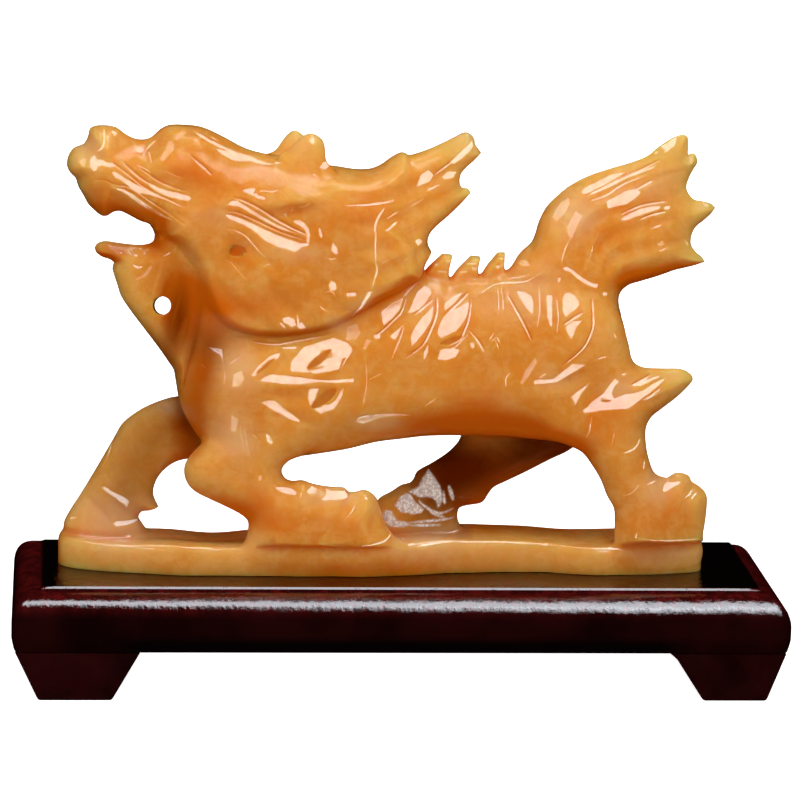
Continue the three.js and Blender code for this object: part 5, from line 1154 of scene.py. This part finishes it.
# How full the rounding of the board's upper edge is along x: 2 is a quarter of an ellipse.
FULLNESS_AT = (-150, -100, -40, 40, 150)
FULLNESS = (2.7, 2.5, 2.15, 2.0, 1.85)
FOOT_CORNER_RADIUS = 0.8
FOOT_FRONT_INSET = 1.0
FOOT_FRONT_TAPER = 2.0
FOOT_TOP_DEPTH = 32.0
FOOT_BOTTOM_DEPTH = 26.0
FLARE_HEIGHT = 2.2
SHARP_FROM = 38  # degrees between two faces
# side: how far in from the end of the board, length along x at the top and at the bottom, how
# far the outer side leans in, and how much the inner side flares out at the top
FOOT_SIZES = {"left": (1.5, 47.4, 28.1, 8.8, 0.0), "right": (1.9, 44.0, 24.8, 6.6, 1.1)}


def rounded_ring(x0, x1, y0, y1, radius, z, pieces=1):
    """A rectangle with rounded corners; each straight side is in so many pieces."""
    arcs = []
    corners = ((x1, y1, -1, -1), (x0, y1, 1, -1), (x0, y0, 1, 1), (x1, y0, -1, 1))
    for quarter, (x, y, in_x, in_y) in enumerate(corners):
        angles = (quarter + np.linspace(0, 1, CORNER_STEPS)) * math.pi / 2
        arcs.append(np.column_stack([x + in_x * radius + radius * np.cos(angles),
                                     y + in_y * radius + radius * np.sin(angles),
                                     np.full(CORNER_STEPS, z)]))
    ring = []
    for arc, following in zip(arcs, arcs[1:] + arcs[:1]):
        ring += list(arc)
        ring += [arc[-1] + (following[0] - arc[-1]) * k / pieces for k in range(1, pieces)]
    return ring


def loft(name, rings):
    """A closed skin over rings from bottom to top; the faces of the caps are single polygons."""
    n = len(rings[0])
    points = [p for ring in rings for p in ring]
    faces = []
    for r in range(len(rings) - 1):
        for i in range(n):
            a, b = r * n + i, r * n + (i + 1) % n
            faces.append((a, b, b + n, a + n))
    faces.append(tuple(reversed(range(n))))
    faces.append(tuple(range((len(rings) - 1) * n, len(rings) * n)))
    mesh = bpy.data.meshes.new(name)
    mesh.from_pydata([(x * MM, y * MM, z * MM) for x, y, z in points], [], faces)
    mesh.update()
    mesh.polygons.foreach_set("use_smooth", np.ones(len(mesh.polygons), bool))
    mesh.set_sharp_from_angle(angle=math.radians(SHARP_FROM))
    return placed(name, mesh)


def build_board():
    """The board, ring by ring: undercut, edge, rounded shoulder, ledge and raised panel."""
    half_x, half_y = BOARD_LENGTH / 2, BOARD_DEPTH / 2

    def ring(inset, z):
        radius = max(0.6, BOARD_CORNER_RADIUS - 0.35 * inset)
        return rounded_ring(inset - half_x, half_x - inset, inset - half_y, half_y - inset,
                            radius, BOARD_BOTTOM + z, SIDE_PIECES)

    rings = [ring(inset, z) for inset, z in (
        (UNDERCUT + 0.6, 0), (UNDERCUT + 0.15, 0.15), (UNDERCUT, 0.6))]
    for t in np.linspace(0, 1, 7)[1:]:
        rings.append(ring(UNDERCUT * (1 - t) ** 1.4, 0.6 + (UNDERCUT_HEIGHT - 0.6) * t))
    foot = BOARD_EDGE_HEIGHT - SHOULDER_HEIGHT
    outer, inner = np.array(ring(0, foot)), np.array(ring(SHOULDER_WIDTH, foot))
    power = 2 / np.interp(outer[:, 0], FULLNESS_AT, FULLNESS)
    for angle in np.linspace(0, math.pi / 2, 27):
        points = inner + (outer - inner) * (math.cos(angle) ** power)[:, None]
        points[:, 2] += SHOULDER_HEIGHT * math.sin(angle) ** power
        rings.append(list(points))
    ledge, top = BOARD_EDGE_HEIGHT, BOARD_EDGE_HEIGHT + PANEL_RISE
    rings += [ring(inset, z) for inset, z in (
        (PANEL_INSET, ledge), (PANEL_INSET + 0.03, top - CHAMFER),
        (PANEL_INSET + CHAMFER, top - 0.03), (PANEL_INSET + CHAMFER + 0.3, top))]
    return loft("stand_board", rings)


def build_foot(side, end):
    """A block foot that narrows downwards."""
    inset, top, bottom, lean, flare = FOOT_SIZES[side]
    sign = -1 if side == "left" else 1
    face = -1 if end == "front" else 1
    outer_x, outer_y = BOARD_LENGTH / 2 - inset, BOARD_DEPTH / 2 - FOOT_FRONT_INSET
    rings = []
    # share of the height, and how far in the worn lower edge is there
    levels = [(0.0, 0.5), (0.012, 0.2), (0.035, 0.05), (0.07, 0)]
    levels += [(t, 0) for t in np.linspace(0.12, 0.87, 12)] + [(0.94, 0), (0.985, 0), (1.0, 0)]
    for t, ease in levels:
        spread = flare * max(0.0, 1 - (1 - t) * FOOT_HEIGHT / FLARE_HEIGHT)
        length = bottom + (top - bottom) * t - 2 * ease + spread
        depth = FOOT_BOTTOM_DEPTH + (FOOT_TOP_DEPTH - FOOT_BOTTOM_DEPTH) * t - 2 * ease
        in_x, in_y = lean * (1 - t) + ease, FOOT_FRONT_TAPER * (1 - t) + ease
        xs = sorted((sign * (outer_x - in_x), sign * (outer_x - in_x - length)))
        ys = sorted((face * (outer_y - in_y), face * (outer_y - in_y - depth)))
        rings.append(rounded_ring(*xs, *ys, FOOT_CORNER_RADIUS, FOOT_HEIGHT * t))
    return loft(f"stand_foot_{end}_{side}", rings)


# Materials.
class Nodes:
    """A material's node tree, with short calls for the nodes that are used here."""

    def __init__(self, name):
        self.material = bpy.data.materials.new(name)
        self.material.use_nodes = True
        self.tree = self.material.node_tree
        self.tree.nodes.clear()
        self.shader = self.add("ShaderNodeBsdfPrincipled")
        output = self.add("ShaderNodeOutputMaterial")
        self.link(self.shader.outputs[0], output.inputs["Surface"])
        self.place = self.add("ShaderNodeTexCoord").outputs["Object"]

    def add(self, kind, **settings):
        node = self.tree.nodes.new(kind)
        for key, value in settings.items():
            setattr(node, key, value)
        return node

    def link(self, source, target):
        self.tree.links.new(source, target)

    def feed(self, socket, value):
        if isinstance(value, bpy.types.NodeSocket):
            self.link(value, socket)
        else:
            socket.default_value = value

    def noise(self, scale, detail=3.0, roughness=0.55, stretch=(1, 1, 1), distort=0.0, shift=0.0):
        mapping = self.add("ShaderNodeMapping")
        self.link(self.place, mapping.inputs["Vector"])
        mapping.inputs["Scale"].default_value = stretch
        mapping.inputs["Location"].default_value = (shift, shift, shift)
        node = self.add("ShaderNodeTexNoise")
        self.link(mapping.outputs[0], node.inputs["Vector"])
        for key, value in (("Scale", scale), ("Detail", detail), ("Roughness", roughness),
                           ("Distortion", distort)):
            node.inputs[key].default_value = value
        return node.outputs["Fac"]

    def attribute(self, name):
        """A number kept at each vertex of the carving."""
        return self.add("ShaderNodeAttribute", attribute_name=name).outputs["Fac"]

    def axes(self):
        split = self.add("ShaderNodeSeparateXYZ")
        self.link(self.place, split.inputs[0])
        return split.outputs

    def ramp(self, value, low, high, bottom=0.0, top=1.0):
        node = self.add("ShaderNodeMapRange", interpolation_type="SMOOTHSTEP")
        for key, number in zip(("Value", "From Min", "From Max", "To Min", "To Max"),
                               (value, low, high, bottom, top)):
            self.feed(node.inputs[key], number)
        return node.outputs[0]

    def math(self, operation, a, b):
        node = self.add("ShaderNodeMath", operation=operation)
        self.feed(node.inputs[0], a)
        self.feed(node.inputs[1], b)
        return node.outputs[0]

    def mix(self, share, a, b):
        node = self.add("ShaderNodeMix", data_type="RGBA")
        self.feed(node.inputs["Factor"], share)
        for socket, colour in ((node.inputs[6], a), (node.inputs[7], b)):
            if isinstance(colour, tuple):
                colour = (*colour, 1.0)
            self.feed(socket, colour)
        return node.outputs[2]

    def multiply(self, share, colour, by):
        node = self.add("ShaderNodeMix", data_type="RGBA", blend_type="MULTIPLY")
        for socket, value in ((0, share), (6, colour), (7, (*by, 1.0))):
            self.feed(node.inputs[socket], value)
        return node.outputs[2]

    def bump(self, height, distance, strength=1.0, after=None):
        node = self.add("ShaderNodeBump")
        node.inputs["Distance"].default_value = distance
        node.inputs["Strength"].default_value = strength
        self.link(height, node.inputs["Height"])
        if after is not None:
            self.link(after, node.inputs["Normal"])
        return node.outputs[0]

    def set(self, **values):
        for key, value in values.items():
            self.feed(self.shader.inputs[key.replace("_", " ")], value)


def stone_material():
    n = Nodes("honey_stone")
    # thick stone deeper orange, thin stone paler and yellower: partly its own colour, partly painted
    # glow of light through the thin parts
    colour = n.mix(n.ramp(n.attribute("bulk"), 0.20, 0.62), (0.84, 0.515, 0.125), (0.86, 0.32, 0.035))
    # clouds in the stone: milky yellow, clear orange and a few browner veins
    clouds = n.ramp(n.noise(30, 4, 0.6, distort=0.6), 0.38, 0.66)
    colour = n.mix(n.math("MULTIPLY", clouds, 0.5), colour, (0.92, 0.46, 0.105))
    clear = n.ramp(n.noise(17, 3, 0.5, shift=3.0, distort=0.4), 0.48, 0.68)
    colour = n.mix(n.math("MULTIPLY", clear, 0.4), colour, (0.74, 0.20, 0.012))
    fine = n.ramp(n.noise(150, 5, 0.7, shift=7.0, distort=0.5), 0.38, 0.68)
    colour = n.mix(n.math("MULTIPLY", fine, 0.38), colour, (1.0, 0.60, 0.20))
    veins = n.ramp(n.noise(70, 3, 0.55, stretch=(1, 1, 2.2), distort=1.4, shift=5.0), 0.55, 0.66)
    colour = n.mix(n.math("MULTIPLY", veins, 0.14), colour, (0.66, 0.19, 0.012))
    # the ovals with ragged edges: deeper orange and milkier, partly painted shade and painted light
    ragged = n.math("MULTIPLY", n.math("SUBTRACT", n.noise(24, 4, 0.65, shift=11.0), 0.5), 0.9)
    deep_tone_and_shade = n.ramp(n.math("ADD", n.attribute("deep_tone_and_shade"), ragged), 0.10, 0.95)
    colour = n.mix(deep_tone_and_shade, colour, (0.78, 0.17, 0.004))
    milky_and_painted_light = n.ramp(n.math("SUBTRACT", n.attribute("milky_and_painted_light"), ragged), 0.10, 0.95)
    colour = n.mix(n.math("MULTIPLY", milky_and_painted_light, 0.75), colour, (0.90, 0.56, 0.28))
    # painted shade: creases and the dimple turn a deeper orange
    hollow = n.math("MULTIPLY", n.ramp(n.attribute("hollow"), 0.38, 0.70), 0.9)
    hollow = n.math("MAXIMUM", hollow, n.math("MULTIPLY", n.attribute("dent"), 0.8))
    colour = n.mix(hollow, colour, (0.82, 0.17, 0.003))
    # painted shade along the walls of the cuts and in the leaves
    colour = n.mix(n.math("MULTIPLY", n.attribute("shade"), 0.75), colour, (0.66, 0.16, 0.006))
    # painted shade: the dark ovals, and the far legs in the body's shadow
    colour = n.multiply(n.attribute("shaded"), colour, (0.17, 0.08, 0.01))
    # the frosted patches are grainy and dull, and painted whitish: partly their tone, partly painted
    # sheen
    grain = n.ramp(n.noise(900, 2, 0.7), 0.42, 0.6)
    frost = n.math("MULTIPLY", n.attribute("frost"), n.ramp(n.noise(420, 3, 0.6), 0.2, 0.5, 0.55, 1.0))
    white = n.mix(grain, (0.62, 0.53, 0.49), (0.95, 0.90, 0.87))
    colour = n.mix(frost, colour, white)
    smooth = n.ramp(n.noise(60, 3, 0.6, shift=1.0), 0.3, 0.7, 0.07, 0.14)
    dull = n.math("MULTIPLY", n.math("SUBTRACT", 1.0, n.attribute("polish")), 0.3)
    roughness = n.math("ADD", n.math("ADD", smooth, dull), n.math("MULTIPLY", frost, 0.5))
    swell = n.bump(n.noise(70, 2, 0.5), 0.0006)
    normal = n.bump(n.noise(260, 3, 0.6), 0.00012, after=swell)
    n.set(Base_Color=colour, Roughness=roughness, IOR=1.58, Normal=normal)
    n.set(Specular_IOR_Level=n.ramp(n.attribute("gloss"), 0.0, 1.0, 0.14, 0.5))
    n.set(Subsurface_Radius=(1.0, 0.45, 0.16), Subsurface_Scale=0.010)
    n.set(Subsurface_Weight=n.math("SUBTRACT", 1.0, n.math("MULTIPLY", frost, 0.8)))
    return n.material


def lacquer_material():
    """Dark maroon gloss that shows redder where it lies thin, along the edges of the top."""
    n = Nodes("maroon_lacquer")
    x, y, z = n.axes()
    cloud = n.ramp(n.noise(28, 3, 0.6), 0.35, 0.7)
    colour = n.mix(cloud, (0.007, 0.0008, 0.001), (0.020, 0.0019, 0.0023))
    brush = n.ramp(n.noise(3, 5, 0.7, stretch=(60, 60, 9)), 0.42, 0.62)
    edge = n.ramp(n.math("ABSOLUTE", y, 0), 0.033, 0.037)
    edge = n.math("MAXIMUM", edge, n.ramp(n.math("ABSOLUTE", x, 0), 0.1384, 0.1392))
    warm = n.math("MULTIPLY", n.ramp(z, 0.0325, 0.0405), edge)
    warm = n.math("MULTIPLY", warm, n.math("ADD", 0.35, n.math("MULTIPLY", brush, 0.65)))
    colour = n.mix(warm, colour, (0.105, 0.006, 0.006))
    # painted shade: between the feet the lower part of the edge is darkened nearly to black
    between = n.ramp(n.math("ABSOLUTE", x, 0), 0.098, 0.116, 1.0, 0.0)
    low = n.math("MULTIPLY", between, n.ramp(z, 0.0225, 0.0275, 1.0, 0.0))
    colour = n.mix(low, colour, (0.0022, 0.001, 0.0012))
    panel = n.ramp(z, 0.04268, 0.04279)
    colour = n.mix(panel, colour, (0.0022, 0.0008, 0.0008))
    hairs = n.noise(4, 4, 0.65, stretch=(95, 95, 4))
    ripple = n.noise(9, 2, 0.5, stretch=(4, 4, 1.5))
    normal = n.bump(hairs, 0.0005, 0.6, after=n.bump(ripple, 0.0014))
    n.set(Base_Color=colour, Roughness=n.ramp(n.noise(45, 3, 0.6), 0.3, 0.7, 0.05, 0.10))
    n.set(Specular_Tint=n.mix(panel, (1.0, 1.0, 1.0), (1.0, 0.12, 0.0)))
    n.set(IOR=1.66, Coat_Weight=n.ramp(panel, 0.0, 1.0, 0.06, 0.16), Coat_Roughness=0.04)
    n.set(Normal=normal)
    return n.material


def foot_material():
    n = Nodes("maroon_lacquer_feet")
    cloud = n.ramp(n.noise(34, 4, 0.65, distort=0.5), 0.36, 0.66)
    colour = n.mix(cloud, (0.011, 0.001, 0.0014), (0.030, 0.0024, 0.0032))
    hairs = n.noise(5, 4, 0.65, stretch=(60, 60, 6))
    normal = n.bump(hairs, 0.0003, 0.5, after=n.bump(n.noise(60, 2, 0.5), 0.0006))
    n.set(Base_Color=colour, Roughness=n.ramp(n.noise(70, 3, 0.6), 0.3, 0.7, 0.10, 0.22))
    n.set(IOR=1.5, Normal=normal, Coat_Weight=0.3, Coat_Roughness=0.06)
    return n.material


# The studio, in metres.
FLOOR_RADIUS = 2.4
BEND = 1.6  # radius of the bend between the floor and the dome
DOME_HEIGHT = 3.4
AROUND = 96
MIDDLE = (0.0, 0.0, 0.13)  # where the lights point
DAYLIGHT = (0.87, 0.93, 1.0)
WARM = (1.0, 0.84, 0.66)
# Softboxes that only show mirrored in the gloss: name, distance, elevation and azimuth in
# degrees, width and height, radiance in watts per m2 sr, roll in degrees. Azimuth 0 is in front.
MIRRORED = [
    ("softbox_overhead", 1.3, 68, 6, (1.7, 0.68), 7.8, -8),
    ("softbox_right", 1.3, 46, 26, (0.6, 0.4), 7.2, -20),
]
# Lights that never show mirrored: the same, with their colour in place of the roll.
UNSEEN = [
    ("key_above", 0.8, 58, -6, (1.0, 0.55), 2.8, (1, 1, 1)),
    ("fill_front", 1.8, 10, -8, (1.6, 1.2), 1.55, (1, 1, 1)),
    ("bounce_from_floor", 1.6, -30, -5, (1.6, 1.2), 1.0, WARM),
    ("fill_left", 1.6, 25, -80, (1.0, 1.0), 1.1, (1, 1, 1)),
    ("fill_right", 1.6, 25, 85, (1.0, 1.0), 1.7, (1, 1, 1)),
    ("fill_back", 1.6, 27, 180, (1.4, 0.8), 3.4, (1, 1, 1)),
]
CAMERA_PLACE = (-134.6, -1514.7, 444.6)  # mm
CAMERA_YAW = 5.07
CAMERA_PITCH = 12.46
CAMERA_ROLL = 1.51


def build_studio():
    """A pale floor that turns up into a dome and neither shades nor is mirrored."""
    bends, climbs = np.linspace(0.15, math.pi / 2, 10), np.linspace(0.15, 1.55, 10)
    rings = [(0.01, 0.0), (0.6, 0.0), (1.2, 0.0), (FLOOR_RADIUS, 0.0)]
    rings += [(FLOOR_RADIUS + BEND * math.sin(a), BEND - BEND * math.cos(a)) for a in bends]
    rings += [((FLOOR_RADIUS + BEND) * math.cos(a), BEND + DOME_HEIGHT * math.sin(a))
              for a in climbs]
    points = [(r * math.cos(t), r * math.sin(t), z) for r, z in rings
              for t in np.linspace(0, 2 * math.pi, AROUND, endpoint=False)]
    faces = []
    for k in range(len(rings) - 1):
        for i in range(AROUND):
            a, b = k * AROUND + i, k * AROUND + (i + 1) % AROUND
            faces.append((a, a + AROUND, b + AROUND, b))
    faces.append(tuple(range(AROUND)))
    mesh = bpy.data.meshes.new("studio_floor")
    mesh.from_pydata(points, [], faces)
    mesh.polygons.foreach_set("use_smooth", np.ones(len(mesh.polygons), bool))
    mesh.update()
    obj = placed("studio_floor", mesh)
    obj.visible_glossy = False
    obj.visible_diffuse = False
    obj.visible_shadow = False
    n = Nodes("pale_floor")
    tint = n.mix(n.noise(1.5, 2, 0.5), (0.86, 0.86, 0.86), (0.9, 0.9, 0.89))
    n.set(Base_Color=tint, Roughness=0.9, Emission_Color=(1, 1, 1, 1), Emission_Strength=1.0)
    n.set(Specular_IOR_Level=0.0)
    mesh.materials.append(n.material)


def area_light(name, distance, elevation, azimuth, size, radiance, colour, roll=0.0):
    el, az = math.radians(elevation), math.radians(azimuth)
    out = Vector((math.cos(el) * math.sin(az), -math.cos(el) * math.cos(az), math.sin(el)))
    data = bpy.data.lights.new(name, "AREA")
    data.shape = "RECTANGLE"
    data.size, data.size_y = size
    data.energy = radiance * math.pi * size[0] * size[1]
    data.color = colour
    lamp = placed(name, data)
    turn = out.to_track_quat("Z", "Y").to_matrix().to_4x4()
    lamp.matrix_world = (Matrix.Translation(Vector(MIDDLE) + distance * out) @ turn
                         @ Matrix.Rotation(math.radians(roll), 4, "Z"))
    return lamp


def build_lights():
    for *row, roll in MIRRORED:
        area_light(*row, DAYLIGHT, roll).visible_diffuse = False
    for row in UNSEEN:
        area_light(*row).visible_glossy = False
    world = bpy.data.worlds.new("dark_room")
    world.use_nodes = True
    world.node_tree.nodes["Background"].inputs["Color"].default_value = (0, 0, 0, 1)
    bpy.context.scene.world = world


def build_camera():
    """The photo's viewpoint, worked out from the edges of the stand."""
    yaw, pitch, roll = (math.radians(a) for a in (CAMERA_YAW, CAMERA_PITCH, CAMERA_ROLL))
    ahead = Vector((math.sin(yaw) * math.cos(pitch), math.cos(yaw) * math.cos(pitch),
                    -math.sin(pitch)))
    level = Vector((math.cos(yaw), -math.sin(yaw), 0))
    upward = level.cross(ahead)
    right = math.cos(roll) * level + math.sin(roll) * upward
    above = -math.sin(roll) * level + math.cos(roll) * upward
    data = bpy.data.cameras.new("photo_camera")
    data.sensor_width = 36
    data.lens = 180
    data.clip_start, data.clip_end = 0.1, 20
    camera = placed("photo_camera", data)
    turn = Matrix((right, above, -ahead)).transposed().to_4x4()
    camera.matrix_world = Matrix.Translation(Vector(CAMERA_PLACE) * MM) @ turn
    bpy.context.scene.camera = camera


# Everything put together.
build_camera()
build_studio()
build_lights()
bpy.context.scene.view_settings.view_transform = "Standard"

stone = build_carving()
stone.data.materials.append(stone_material())
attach(stone, "root")
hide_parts("qilin_carving")

board = build_board()
board.data.materials.append(lacquer_material())
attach(board, "root")
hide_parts("plinth_board")

foot_finish = foot_material()
for end in ("front", "back"):
    for side in ("left", "right"):
        foot = build_foot(side, end)
        foot.data.materials.append(foot_finish)
        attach(foot, "root")
        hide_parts(f"foot_{end}_{side}")

bpy.context.view_layer.update()
